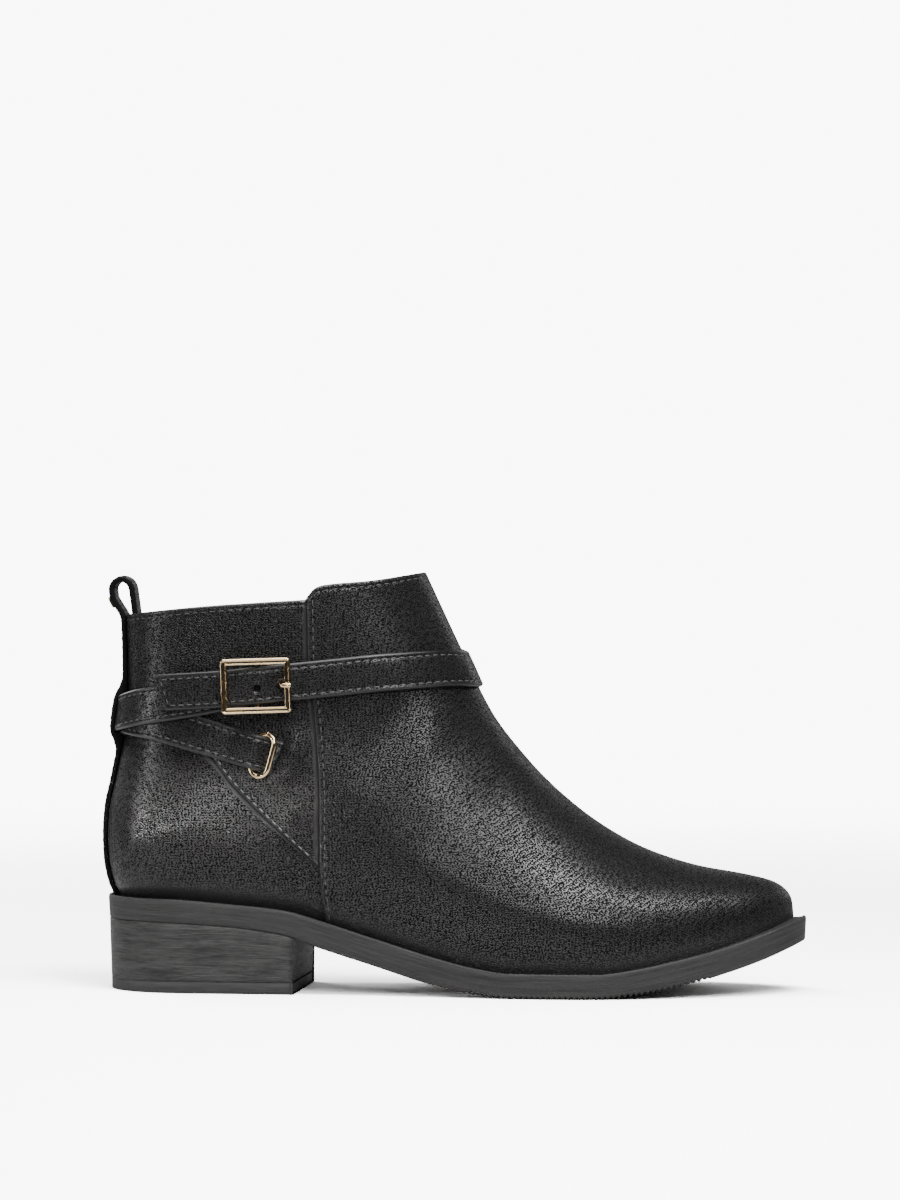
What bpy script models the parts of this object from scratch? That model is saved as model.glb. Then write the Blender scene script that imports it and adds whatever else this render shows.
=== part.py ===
"""Zip ankle boot for the right foot, as an assembly of its real pieces.

Lengths are in millimetres and each finished mesh is scaled to metres.
The toe points along +X, the outer side faces -Y, the floor is at z = 0.
"""

import math
from collections import namedtuple
from functools import lru_cache

import bmesh
import bpy
import numpy as np
from mathutils import Matrix, Vector

for old_object in list(bpy.data.objects):
    bpy.data.objects.remove(old_object, do_unlink=True)

# Driving sizes of the boot
MM = 0.001
GAP = 0.3
SOLE_LENGTH = 265.0
TOE_SWING = 7.0
SWING_START = 110.0
OUTER, INNER = -1, 1
FRONT, BACK = "front", "back"

# Depths of the leather layers, measured out from the vamp's own face
VAMP_FACE = 0.0
QUARTER_FACE = -0.8
COUNTER_FACE = -1.5
LINING_FACE = -2.6

# Side profile of the sole: top and underside heights along its length
SoleRow = namedtuple("SoleRow", "x top bottom")
SOLE_PROFILE = [
    SoleRow(0, 35.2, 27.0),
    SoleRow(25, 35.1, 26.6),
    SoleRow(50, 33.4, 25.2),
    SoleRow(70, 31.4, 22.6),
    SoleRow(85, 27.5, 17.6),
    SoleRow(105, 21.3, 11.4),
    SoleRow(127, 14.8, 4.9),
    SoleRow(145, 10.6, 1.4),
    SoleRow(157, 9.1, 0.0),
    SoleRow(190, 9.0, 0.0),
    SoleRow(205, 10.8, 1.5),
    SoleRow(220, 13.9, 4.3),
    SoleRow(235, 17.6, 8.3),
    SoleRow(250, 22.5, 13.2),
    SoleRow(265, 28.1, 19.4),
]

# Side profile of the upper, level by level from the feather line to the collar
Level = namedtuple("Level", "t back_x back_z front_x front_z back_round front_round")
PROFILE = [
    Level(0.000, 2.7, 35.5, 260.1, 26.6, 30, 80),
    Level(0.040, 0.8, 40.0, 258.2, 34.6, 31, 84),
    Level(0.080, -0.2, 44.4, 252.1, 40.7, 32, 88),
    Level(0.125, -0.8, 49.0, 243.0, 43.7, 33, 92),
    Level(0.220, -1.3, 59.0, 224.7, 47.1, 34, 96),
    Level(0.310, -0.8, 68.5, 206.4, 52.7, 36, 98),
    Level(0.410, 1.2, 79.0, 188.2, 62.0, 38, 98),
    Level(0.525, 3.4, 91.0, 170.0, 76.0, 40, 94),
    Level(0.610, 5.5, 100.5, 157.8, 88.6, 42, 88),
    Level(0.710, 6.6, 111.5, 145.6, 104.9, 43, 78),
    Level(0.850, 6.5, 126.0, 132.7, 130.0, 43, 66),
    Level(1.000, 6.0, 141.8, 121.0, 158.4, 42, 56),
]

# Half widths of the last at four stations along the foot, outer and inner side
STATIONS = (35.0, 100.0, 182.0, 238.0)
Width = namedtuple("Width", "t heel_out arch_out ball_out toe_out heel_in arch_in ball_in toe_in")
WIDTHS = [
    Width(0.000, 27.0, 29.5, 41.0, 37.0, 27.0, 25.5, 41.0, 38.0),
    Width(0.040, 28.8, 31.5, 43.2, 38.0, 28.8, 28.0, 43.2, 39.5),
    Width(0.125, 30.4, 33.0, 44.0, 37.0, 30.4, 31.0, 44.5, 39.0),
    Width(0.250, 31.4, 34.2, 42.5, 35.0, 31.4, 33.0, 43.5, 37.0),
    Width(0.450, 31.0, 33.6, 39.0, 33.0, 31.0, 33.6, 41.0, 35.0),
    Width(0.700, 28.4, 30.8, 36.0, 33.0, 28.4, 30.8, 36.0, 33.0),
    Width(1.000, 30.2, 30.6, 30.8, 30.8, 30.2, 30.6, 30.8, 30.8),
]
SOLE_WIDTH = Width(0.0, 31.6, 34.0, 46.0, 42.5, 31.6, 29.5, 46.0, 43.5)
SOLE_BACK_ROUND = 33.0
SOLE_FRONT_ROUND = 84.0

# Collar height along the foot: the vamp's corner stands up on the outer side
CollarRow = namedtuple("CollarRow", "x outer inner")
COLLAR = [
    CollarRow(6, 141.8, 141.8),
    CollarRow(33, 144.9, 144.9),
    CollarRow(58, 146.8, 147.4),
    CollarRow(78, 148.2, 150.2),
    CollarRow(82, 151.2, 150.8),
    CollarRow(86, 152.9, 151.5),
    CollarRow(103, 154.8, 154.4),
    CollarRow(121, 158.4, 158.4),
]

# Edge of the vamp on the outer side, which the zip follows on the inner side
SeamRow = namedtuple("SeamRow", "z x")
SEAM = [
    SeamRow(20, 86.8),
    SeamRow(30, 86.1),
    SeamRow(45, 84.9),
    SeamRow(72, 84.8),
    SeamRow(90, 83.8),
    SeamRow(107, 82.2),
    SeamRow(125, 80.2),
    SeamRow(148, 79.8),
    SeamRow(165, 79.8),
]

# Lower edge of the quarter over the heel counter
CounterRow = namedtuple("CounterRow", "x z")
COUNTER_EDGE = [
    CounterRow(0, 104.0),
    CounterRow(25, 101.0),
    CounterRow(38, 95.5),
    CounterRow(44, 88.6),
    CounterRow(50, 80.0),
    CounterRow(57, 72.4),
    CounterRow(84, 46.4),
]
COUNTER_LEVEL_AT_BALL, COUNTER_LEVEL_AT_TOE = 0.25, 0.33
BALL_SHARE, TOE_SHARE = 0.75, 1.0


# Curves and the last's own surface
def smooth_curve(xs, ys):
    """A curve through a table's points that never overshoots them."""
    xs = np.asarray(xs, float)
    ys = np.asarray(ys, float)
    step = np.diff(xs)
    slope = np.diff(ys) / step
    lean = np.zeros(len(xs))
    lean[0] = slope[0]
    lean[-1] = slope[-1]
    for i in range(1, len(xs) - 1):
        before, after = slope[i - 1], slope[i]
        if before * after > 0:
            far = 2 * step[i] + step[i - 1]
            near = step[i] + 2 * step[i - 1]
            lean[i] = (far + near) / (far / before + near / after)

    def at(x):
        x = min(max(x, xs[0]), xs[-1])
        i = min(int(np.searchsorted(xs, x, side="right")) - 1, len(xs) - 2)
        u = (x - xs[i]) / step[i]
        hold = 2 * u**3 - 3 * u**2 + 1
        rise = u**3 - 2 * u**2 + u
        settle = u**3 - u**2
        return float(
            hold * ys[i] + rise * step[i] * lean[i] + (1 - hold) * ys[i + 1] + settle * step[i] * lean[i + 1]
        )

    return at


def column(table, x_name, y_name):
    """The smooth curve of one named column of a table against another."""
    return smooth_curve([getattr(r, x_name) for r in table], [getattr(r, y_name) for r in table])


sole_top = column(SOLE_PROFILE, "x", "top")
sole_bottom = column(SOLE_PROFILE, "x", "bottom")
seam_x = column(SEAM, "z", "x")
counter_edge_z = column(COUNTER_EDGE, "x", "z")
collar_z = {OUTER: column(COLLAR, "x", "outer"), INNER: column(COLLAR, "x", "inner")}
profile_columns = [column(PROFILE, "t", name) for name in Level._fields[1:]]
width_columns = [column(WIDTHS, "t", name) for name in Width._fields[1:]]


def ease(u):
    u = min(max(u, 0.0), 1.0)
    return u * u * (3 - 2 * u)


def swing(x):
    """How far the middle of the last has turned towards the inner side."""
    return TOE_SWING * ease((x - SWING_START) / (SOLE_LENGTH - SWING_START))


def end_round(distance, length):
    """Share of the full width at a distance from a rounded end."""
    u = min(max(distance / length, 0.0), 1.0)
    return math.sqrt(max(0.0, 1 - (1 - u) ** 2))


@lru_cache(maxsize=None)
def level(t):
    return Level(t, *(curve(t) for curve in profile_columns))


def side_curves(row):
    stations = len(STATIONS)
    return {
        OUTER: smooth_curve(STATIONS, row[1 : 1 + stations]),
        INNER: smooth_curve(STATIONS, row[1 + stations :]),
    }


@lru_cache(maxsize=None)
def half_widths(t):
    return side_curves(Width(t, *(curve(t) for curve in width_columns)))


sole_half_width = side_curves(SOLE_WIDTH)
FEATHER, COLLAR_LEVEL = level(0.0), level(1.0)


def height(s, t, side):
    """Height of the last's surface at a share s from heel to toe of level t."""
    row = level(t)
    feather_x = FEATHER.back_x + (FEATHER.front_x - FEATHER.back_x) * s
    feather_line = FEATHER.back_z + (FEATHER.front_z - FEATHER.back_z) * s
    collar_x = COLLAR_LEVEL.back_x + (COLLAR_LEVEL.front_x - COLLAR_LEVEL.back_x) * s
    collar_line = COLLAR_LEVEL.back_z + (COLLAR_LEVEL.front_z - COLLAR_LEVEL.back_z) * s
    dip = (1 - t) ** 3 * (sole_top(feather_x) + GAP - feather_line)
    rise = t**4 * (collar_z[side](collar_x) - collar_line)
    return row.back_z + (row.front_z - row.back_z) * s + dip + rise


def point(turn, t):
    """A point of the last: turn 0 is the back, pi the front, the outer side comes first."""
    turn = turn % (2 * math.pi)
    side = OUTER if turn <= math.pi else INNER
    s = (1 - math.cos(turn)) / 2
    row = level(t)
    run = row.front_x - row.back_x
    x = row.back_x + run * s
    spread = half_widths(t)[side](x)
    spread *= end_round(s * run, row.back_round) * end_round((1 - s) * run, row.front_round)
    return np.array((x, swing(x) + side * spread, height(s, t, side)))


STEP_TURN, STEP_LEVEL = 1e-3, 1e-3
HALVINGS = 40


def slopes(turn, t):
    """Change of the surface point with turn and with level."""
    low, high = max(t - STEP_LEVEL, 0.0), min(t + STEP_LEVEL, 1.0)
    along = (point(turn + STEP_TURN, t) - point(turn - STEP_TURN, t)) / (2 * STEP_TURN)
    up = (point(turn, high) - point(turn, low)) / (high - low)
    return along, up


def unit(v):
    return v / np.linalg.norm(v)


def normal(turn, t):
    along, up = slopes(turn, t)
    return unit(np.cross(along, up))


def offset_point(turn, t, depth):
    return point(turn, t) + normal(turn, t) * depth


def turn_of(s, side):
    angle = math.acos(min(max(1 - 2 * s, -1.0), 1.0))
    return angle if side == OUTER else 2 * math.pi - angle


def share_at(x, t):
    row = level(t)
    return min(max((x - row.back_x) / (row.front_x - row.back_x), 0.0), 1.0)


def level_at(x, z, side):
    """The level whose surface passes through x, z on one side."""
    low, high = 0.0, 1.0
    for _ in range(HALVINGS):
        middle = (low + high) / 2
        if height(share_at(x, middle), middle, side) < z:
            low = middle
        else:
            high = middle
    return (low + high) / 2


def place_at(x, z, side):
    """Turn and level of a place seen from the side, or of a height on the front or back line."""
    if side == BACK:
        return 0.0, level_at(-SOLE_LENGTH, z, OUTER)
    if side == FRONT:
        return math.pi, level_at(2 * SOLE_LENGTH, z, OUTER)
    t = level_at(x, z, side)
    return turn_of(share_at(x, t), side), t


# Meshes, finishes and the boot's root
root = bpy.data.objects.new("boot", None)
bpy.context.scene.collection.objects.link(root)


def finish(name, colour, roughness, metallic=0.0):
    material = bpy.data.materials.new(name)
    material.use_nodes = True
    shader = material.node_tree.nodes["Principled BSDF"]
    shader.inputs["Base Color"].default_value = (*colour, 1.0)
    shader.inputs["Roughness"].default_value = roughness
    shader.inputs["Metallic"].default_value = metallic
    return material


leather = finish("black_leather", (0.012, 0.012, 0.013), 0.45)
strap_leather = finish("strap_leather", (0.014, 0.014, 0.015), 0.42)
sole_rubber = finish("sole_rubber", (0.030, 0.029, 0.029), 0.60)
heel_stack = finish("heel_stack", (0.034, 0.033, 0.033), 0.55)
lift_rubber = finish("lift_rubber", (0.016, 0.016, 0.016), 0.70)
insole_cloth = finish("insole_cloth", (0.055, 0.050, 0.046), 0.85)
pale_gold = finish("pale_gold", (0.78, 0.62, 0.38), 0.24, 1.0)
zip_cloth = finish("zip_cloth", (0.010, 0.010, 0.010), 0.80)
zip_metal = finish("zip_metal", (0.55, 0.44, 0.28), 0.30, 1.0)


def solid(name, bm, material, place=None, pivot=None):
    """Turns a mesh in millimetres into a named object in metres on the boot's root."""
    if place is not None:
        bm.transform(place)
    if pivot is not None:
        bmesh.ops.translate(bm, vec=-Vector(pivot), verts=bm.verts)
    bmesh.ops.recalc_face_normals(bm, faces=bm.faces)
    bmesh.ops.scale(bm, vec=(MM, MM, MM), verts=bm.verts)
    mesh = bpy.data.meshes.new(name)
    bm.to_mesh(mesh)
    bm.free()
    mesh.materials.append(material)
    made = bpy.data.objects.new(name, mesh)
    bpy.context.scene.collection.objects.link(made)
    made.parent = root
    if pivot is not None:
        made.location = Vector(pivot) * MM
    return made


def combine(target, name, bm, place, operation):
    """Joins a hidden shape to a solid, or cuts it out."""
    tool = solid(name, bm, leather, place)
    tool.hide_render = True
    tool.display_type = "WIRE"
    modifier = target.modifiers.new(name, "BOOLEAN")
    modifier.operation = operation
    modifier.solver = "EXACT"
    modifier.object = tool


def cut(target, name, bm, place=None):
    combine(target, name, bm, place, "DIFFERENCE")


def unite(target, name, bm, place=None):
    combine(target, name, bm, place, "UNION")


def skin(rings, closed=False):
    """Walls between rings of like points, and a cap on each end or a join of last to first."""
    bm = bmesh.new()
    loops = [[bm.verts.new(p) for p in ring] for ring in rings]
    pairs = list(zip(loops, loops[1:]))
    if closed:
        pairs.append((loops[-1], loops[0]))
    for a, b in pairs:
        for i in range(len(a)):
            k = (i + 1) % len(a)
            bm.faces.new((a[i], a[k], b[k], b[i]))
    if not closed:
        bm.faces.new(list(reversed(loops[0])))
        bm.faces.new(loops[-1])
    return bm


def prism(outline, low, high):
    """A flat outline raised along Z."""
    return skin([[(x, y, z) for x, y in outline] for z in (low, high)])


def rounded_box(width, length, radius, corner_steps=3):
    """Outline of a rectangle with round corners, centred on the origin."""
    outline = []
    for corner in range(4):
        start = corner * math.pi / 2
        sign_x = 1 if corner in (0, 3) else -1
        sign_y = 1 if corner in (0, 1) else -1
        centre = (sign_x * (width / 2 - radius), sign_y * (length / 2 - radius))
        for step in range(corner_steps + 1):
            angle = start + step / corner_steps * math.pi / 2
            outline.append((centre[0] + radius * math.cos(angle), centre[1] + radius * math.sin(angle)))
    return outline


def rod(path, section, up, closed=False):
    """A section of (side, up) points carried along a path that lies mostly square to up."""
    path = [np.asarray(p, float) for p in path]
    up = unit(np.asarray(up, float))
    rings = []
    for i, centre in enumerate(path):
        after = path[(i + 1) % len(path)] if closed or i + 1 < len(path) else centre
        before = path[i - 1] if closed or i > 0 else centre
        along = unit(after - before)
        side = unit(np.cross(along, up))
        lift = np.cross(side, along)
        rings.append([centre + side * a + lift * b for a, b in section])
    return skin(rings, closed)


def round_section(radius, sides=8):
    turns = [2 * math.pi * (i + 0.5) / sides for i in range(sides)]
    return [(radius * math.cos(a), radius * math.sin(a)) for a in turns]


# Sole pieces: outsole, heel block, top lift and insole are slabs along the foot
def sole_edge(x):
    share = end_round(x, SOLE_BACK_ROUND) * end_round(SOLE_LENGTH - x, SOLE_FRONT_ROUND)
    return [swing(x) + side * sole_half_width[side](x) * share for side in (OUTER, INNER)]


def slab(stations, edge, rows, square_front):
    """A slab with its rim in rows of (inset, height at x), from the top row to the bottom row."""
    sides = []
    for k in (0, 1):
        sides.append([np.array((x, edge(x)[k])) for x in stations])
    bm = bmesh.new()
    grid = []
    last = len(stations) - 1
    for inset, height_at in rows:
        sheets = []
        for k, line in enumerate(sides):
            sheet = []
            for i, p in enumerate(line):
                tip = i == 0 or (i == last and not square_front)
                if tip and k == 1:
                    sheet.append(sheets[0][i])
                    continue
                other = sides[1 - k]
                before = line[i - 1] if i > 0 else other[1]
                after = line[min(i + 1, last)]
                if i == last:
                    after = p + p - line[i - 1] if square_front else other[last - 1]
                along = unit(after - before)
                inward = np.array((-along[1], along[0])) * (1 if k == 0 else -1)
                moved = p + inward * inset
                if square_front and i == last:
                    moved[0] = p[0]
                sheet.append(bm.verts.new((moved[0], moved[1], height_at(p[0]))))
            sheets.append(sheet)
        grid.append(sheets)
    for upper_row, lower_row in zip(grid, grid[1:]):
        for k in (0, 1):
            for i in range(last):
                bm.faces.new((upper_row[k][i], upper_row[k][i + 1], lower_row[k][i + 1], lower_row[k][i]))
        if square_front:
            bm.faces.new((upper_row[0][last], upper_row[1][last], lower_row[1][last], lower_row[0][last]))
    for sheets in (grid[0], grid[-1]):
        for i in range(last):
            corners = (sheets[0][i], sheets[0][i + 1], sheets[1][i + 1], sheets[1][i])
            bm.faces.new(list(dict.fromkeys(corners)))
    return bm


FLOOR_TOLERANCE = 1e-6


def flatten_floor(bm):
    """Joins the faces that lie on the floor into one flat face."""
    on_floor = [f for f in bm.faces if all(abs(v.co.z) < FLOOR_TOLERANCE for v in f.verts)]
    bmesh.ops.dissolve_faces(bm, faces=on_floor, use_verts=False)
    return bm


SOLE_STEPS = 34
EDGE_ROUND = 0.6
TAPER_LOW, TAPER_FOOT = 0.4, 0.9
sole_stations = [SOLE_LENGTH * (1 - math.cos(math.pi * i / SOLE_STEPS)) / 2 for i in range(SOLE_STEPS + 1)]
sole_rows = [
    (EDGE_ROUND, sole_top),
    (0.0, lambda x: sole_top(x) - EDGE_ROUND),
    (TAPER_LOW, lambda x: sole_bottom(x) + EDGE_ROUND),
    (TAPER_FOOT, sole_bottom),
]
solid("outsole", flatten_floor(slab(sole_stations, sole_edge, sole_rows, False)), sole_rubber)

HEEL_BREAST_X = 75.3
HEEL_STEPS = 12
HEEL_INSET, HEEL_TAPER = 0.3, 1.1
LIFT_HEIGHT, LIFT_INSET, LIFT_ROUND = 4.4, 1.2, 0.5
heel_stations = [HEEL_BREAST_X * (1 - math.cos(math.pi / 2 * i / HEEL_STEPS)) for i in range(HEEL_STEPS + 1)]
heel_rows = [
    (HEEL_INSET, lambda x: sole_bottom(x) - GAP),
    (HEEL_TAPER, lambda x: LIFT_HEIGHT + GAP),
]
lift_rows = [
    (LIFT_INSET, lambda x: LIFT_HEIGHT),
    (LIFT_INSET, lambda x: LIFT_ROUND),
    (LIFT_INSET + LIFT_ROUND, lambda x: 0.0),
]
solid("heel_block", slab(heel_stations, sole_edge, heel_rows, True), heel_stack)
solid("top_lift", flatten_floor(slab(heel_stations, sole_edge, lift_rows, True)), lift_rubber)

INSOLE_STEPS = 26
INSOLE_THICKNESS = 2.6
INSOLE_CLEAR = 0.8
insole_start = FEATHER.back_x - LINING_FACE + INSOLE_CLEAR
insole_end = FEATHER.front_x + LINING_FACE - INSOLE_CLEAR


def insole_edge(x):
    """Edge of the insole just inside the wall's lower rim."""
    rim = []
    run = insole_end - insole_start
    s = min(max((x - insole_start) / run, 0.0), 1.0)
    for side in (OUTER, INNER):
        rim.append(float(offset_point(turn_of(s, side), 0.0, LINING_FACE - INSOLE_CLEAR)[1]))
    return rim


insole_stations = [
    insole_start + (insole_end - insole_start) * (1 - math.cos(math.pi * i / INSOLE_STEPS)) / 2
    for i in range(INSOLE_STEPS + 1)
]
insole_rows = [
    (0.0, lambda x: sole_top(x) + GAP + INSOLE_THICKNESS),
    (0.0, lambda x: sole_top(x) + GAP),
]
solid("insole", slab(insole_stations, insole_edge, insole_rows, False), insole_cloth)

# Upper: one lasted wall, open at the collar and underneath, with its laps as steps
REAR_COLUMNS, VAMP_COLUMNS = 11, 18
COUNTER_ROWS, QUARTER_ROWS = 9, 13
LAP_SHARE = 0.004
LAP_HALF = 0.35
SEAM_GUESS, SEAM_ROUNDS = 0.3, 12
COUNTER_SAMPLES = 24
REAR_HALF = 0.5
ROW_CROWDING = 1.25


def counter_level_curve():
    """Level of the quarter's lower edge from the back to the vamp, and on as a plain row to the toe."""
    shares, levels = [], []
    for i in range(COUNTER_SAMPLES + 1):
        s = REAR_HALF * i / COUNTER_SAMPLES
        low, high = 0.0, 1.0
        for _ in range(HALVINGS):
            t = (low + high) / 2
            row = level(t)
            x = row.back_x + (row.front_x - row.back_x) * s
            if height(s, t, OUTER) < counter_edge_z(x):
                low = t
            else:
                high = t
        if x > COUNTER_EDGE[-1].x:
            break
        shares.append(s)
        levels.append(t)
    shares += [BALL_SHARE, TOE_SHARE]
    levels += [COUNTER_LEVEL_AT_BALL, COUNTER_LEVEL_AT_TOE]
    return smooth_curve(shares, levels)


counter_level = counter_level_curve()


def row_level(row, s):
    """Level of one row of the wall at a share s: rows below and above the quarter's edge."""
    split = counter_level(s)
    if row <= COUNTER_ROWS:
        return (split - LAP_SHARE) * (row / COUNTER_ROWS) ** ROW_CROWDING
    return split + LAP_SHARE + (1 - split - LAP_SHARE) * (row - COUNTER_ROWS - 1) / QUARTER_ROWS


def seam_share(row, side):
    """Share along the row where the vamp's edge crosses it."""
    s = SEAM_GUESS
    for _ in range(SEAM_ROUNDS):
        t = row_level(row, s)
        s = share_at(seam_x(height(s, t, side)), t)
    return s


def wall_row(row, side):
    """Places along one side of a row from back to front: turn, level and layer depth."""
    seam = seam_share(row, side)
    seam_level = level(row_level(row, seam))
    lap = LAP_HALF / (seam_level.front_x - seam_level.back_x)
    rear_depth = COUNTER_FACE if row <= COUNTER_ROWS else QUARTER_FACE
    places = []
    for i in range(REAR_COLUMNS + 1):
        s = (seam - lap) * (1 - math.cos(math.pi / 2 * i / REAR_COLUMNS))
        places.append((turn_of(s, side), row_level(row, s), rear_depth))
    for i in range(VAMP_COLUMNS + 1):
        s = seam + lap + (1 - seam - lap) * math.sin(math.pi / 2 * i / VAMP_COLUMNS)
        places.append((turn_of(s, side), row_level(row, s), VAMP_FACE))
    return places


def wall_ring(row, lining=False):
    around = wall_row(row, OUTER) + wall_row(row, INNER)[-2:0:-1]
    ring = []
    for turn, t, depth in around:
        p = offset_point(turn, t, LINING_FACE if lining else depth)
        if row == 0:
            p[2] = sole_top(p[0]) + GAP
        if row == LAST_ROW:
            p[2] = point(turn, t)[2]
        ring.append(p)
    return ring


LAST_ROW = COUNTER_ROWS + 1 + QUARTER_ROWS
face_rings = [wall_ring(row) for row in range(LAST_ROW + 1)]
LINING_ROWS_DOWN = (0, 2, 5, 8, 11)
LINING_ROWS_LOW = (COUNTER_ROWS, 7, 5, 3, 2, 1, 0)
lining_rows = [LAST_ROW - down for down in LINING_ROWS_DOWN] + list(LINING_ROWS_LOW)
lining_rings = [wall_ring(row, lining=True) for row in lining_rows]
upper = solid("upper", skin(face_rings + lining_rings, closed=True), leather)

# Zip opening: a slot through the inner wall that follows the seam up to the collar
ZIP_HALF_SLOT = 4.6
ZIP_FOOT_Z = 50.0
SLOT_HEIGHTS = (ZIP_FOOT_Z, 60, 75, 90, 107, 125, 148, 170)
SLOT_NEAR_Y, SLOT_FAR_Y = 12.0, 60.0
slot_rings = []
for z in SLOT_HEIGHTS:
    low_x, high_x = seam_x(z) - ZIP_HALF_SLOT, seam_x(z) + ZIP_HALF_SLOT
    slot_rings.append([
        (low_x, SLOT_NEAR_Y, z), (high_x, SLOT_NEAR_Y, z), (high_x, SLOT_FAR_Y, z), (low_x, SLOT_FAR_Y, z)
    ])
cut(upper, "zip_slot", skin(slot_rings))

# Straps: flat strips that lie on the last along a route of named stops
Stop = namedtuple("Stop", "side x z depth")
HALF_STEP = 0.5


def strip(stops, width, thickness, count, slant=0.0, slant_run=20.0):
    """A strip whose underside keeps each stop's depth; a slant cuts its first end at an angle."""
    turns, levels = [], []
    for stop in stops:
        turn, t = place_at(stop.x, stop.z, stop.side)
        if turns and turn - turns[-1] > math.pi:
            turn -= 2 * math.pi
        turns.append(turn)
        levels.append(t)
    marks = [point(turn, t) for turn, t in zip(turns, levels)]
    run = np.concatenate(([0.0], np.cumsum([np.linalg.norm(b - a) for a, b in zip(marks, marks[1:])])))
    turn_at = smooth_curve(run, turns)
    level_along = smooth_curve(run, levels)
    depth_at = smooth_curve(run, [stop.depth for stop in stops])
    rings = []
    for i in range(count + 1):
        here = slant + (run[-1] - slant) * i / count
        lean = slant * (1 - ease((here - slant) / slant_run))
        low_face, high_face = [], []
        for share in (-1, 0, 1):
            d = here - lean * share
            turn, t = turn_at(d), level_along(d)
            ahead = min(d + HALF_STEP, run[-1])
            behind = max(ahead - 2 * HALF_STEP, 0.0)
            along, up = slopes(turn, t)
            travel = along * (turn_at(ahead) - turn_at(behind))
            travel += up * (level_along(ahead) - level_along(behind))
            across = unit(np.cross(np.cross(along, up), travel))
            grid = np.column_stack((along, up))
            turn_step, level_step = np.linalg.lstsq(grid, across * width / 2 * share, rcond=None)[0]
            edge = (turn + turn_step, min(max(t + level_step, 0.0), 1.0))
            low_face.append(offset_point(*edge, depth_at(d)))
            high_face.append(offset_point(*edge, depth_at(d) + thickness))
        rings.append(low_face + high_face[::-1])
    return skin(rings)


STRAP_WIDTH, LOWER_WIDTH = 13.4, 12.6
STRAP_THICKNESS = 1.7
LAYER = STRAP_THICKNESS + GAP
ON_COUNTER = COUNTER_FACE + GAP
ON_QUARTER = QUARTER_FACE + GAP
ON_VAMP = VAMP_FACE + GAP
OVER_ONE = ON_QUARTER + LAYER
OVER_TWO = ON_QUARTER + 2 * LAYER
STRAP_END_CLEAR = 0.4
ZIP_EDGE = ZIP_HALF_SLOT + STRAP_END_CLEAR
STRAPS_AT_BACK_Z = 104.8
BUCKLE_X, BUCKLE_Z = 59.5, 114.8
CENTRE_BAR_RADIUS = 0.9
REAR_STRAP_CLEAR = 1.6
REAR_STRAP_END = CENTRE_BAR_RADIUS + REAR_STRAP_CLEAR

front_route = [
    Stop(OUTER, 23.8, 112.2, OVER_TWO),
    Stop(OUTER, 46.3, 113.7, OVER_TWO),
    Stop(OUTER, BUCKLE_X, BUCKLE_Z, OVER_TWO + 0.2),
    Stop(OUTER, 72.7, 116.2, OVER_ONE - 0.2),
    Stop(OUTER, 82.0, 117.4, ON_VAMP + 0.3),
    Stop(OUTER, 91.0, 118.6, ON_VAMP),
    Stop(OUTER, 109.5, 120.8, ON_VAMP),
    Stop(OUTER, 128.0, 122.4, ON_VAMP),
    Stop(FRONT, None, 122.6, ON_VAMP),
    Stop(INNER, 128.0, 122.4, ON_VAMP),
    Stop(INNER, 109.5, 120.8, ON_VAMP),
    Stop(INNER, seam_x(118.0) + ZIP_EDGE, 118.0, ON_VAMP),
]
TIP_SLANT = 1.9
front_strip = strip(front_route, STRAP_WIDTH, STRAP_THICKNESS, 48, slant=TIP_SLANT)
strap_front = solid("strap_front", front_strip, strap_leather)

rear_route = [
    Stop(OUTER, BUCKLE_X - REAR_STRAP_END, 114.6, OVER_ONE - 0.5),
    Stop(OUTER, 48.0, 112.5, OVER_ONE),
    Stop(OUTER, 37.4, 110.3, OVER_ONE),
    Stop(OUTER, 17.6, 107.2, OVER_ONE),
    Stop(BACK, None, STRAPS_AT_BACK_Z, OVER_ONE),
    Stop(INNER, 17.6, 107.2, OVER_ONE),
    Stop(INNER, 37.4, 110.3, OVER_ONE),
    Stop(INNER, 52.0, 112.6, ON_QUARTER + 0.5),
    Stop(INNER, seam_x(116.0) - ZIP_EDGE, 116.0, ON_QUARTER),
]
solid("strap_rear", strip(rear_route, STRAP_WIDTH, STRAP_THICKNESS, 46), strap_leather)

RING_X, RING_Z = 61.6, 89.5
RING_LENGTH, RING_HEIGHT, RING_CORNER = 10.0, 18.2, 4.6
RING_WIRE = 1.05
RING_CORNER_STEPS = 5
RING_LEAN = math.radians(14)
ring_bar = RING_LENGTH / 2 - RING_WIRE
ring_low = ON_QUARTER + RING_WIRE
RING_TIP = 0.2
ring_high = ON_QUARTER + LAYER + RING_WIRE + RING_TIP
lower_route = [
    Stop(OUTER, RING_X + 5.6, 87.8, ON_QUARTER),
    Stop(OUTER, RING_X + ring_bar, 88.5, ON_QUARTER),
    Stop(OUTER, RING_X - ring_bar, 90.6, ring_low + RING_WIRE + GAP),
    Stop(OUTER, 49.0, 93.4, ON_QUARTER),
    Stop(OUTER, 44.8, 94.9, ON_QUARTER),
    Stop(OUTER, 17.6, 102.3, ON_QUARTER),
    Stop(BACK, None, STRAPS_AT_BACK_Z, ON_QUARTER),
    Stop(INNER, 17.6, 102.3, ON_QUARTER),
    Stop(INNER, 44.8, 94.9, ON_QUARTER),
    Stop(INNER, seam_x(85.0) - ZIP_EDGE, 85.0, ON_QUARTER),
]
solid("strap_lower", strip(lower_route, LOWER_WIDTH, STRAP_THICKNESS, 60), strap_leather)

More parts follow.
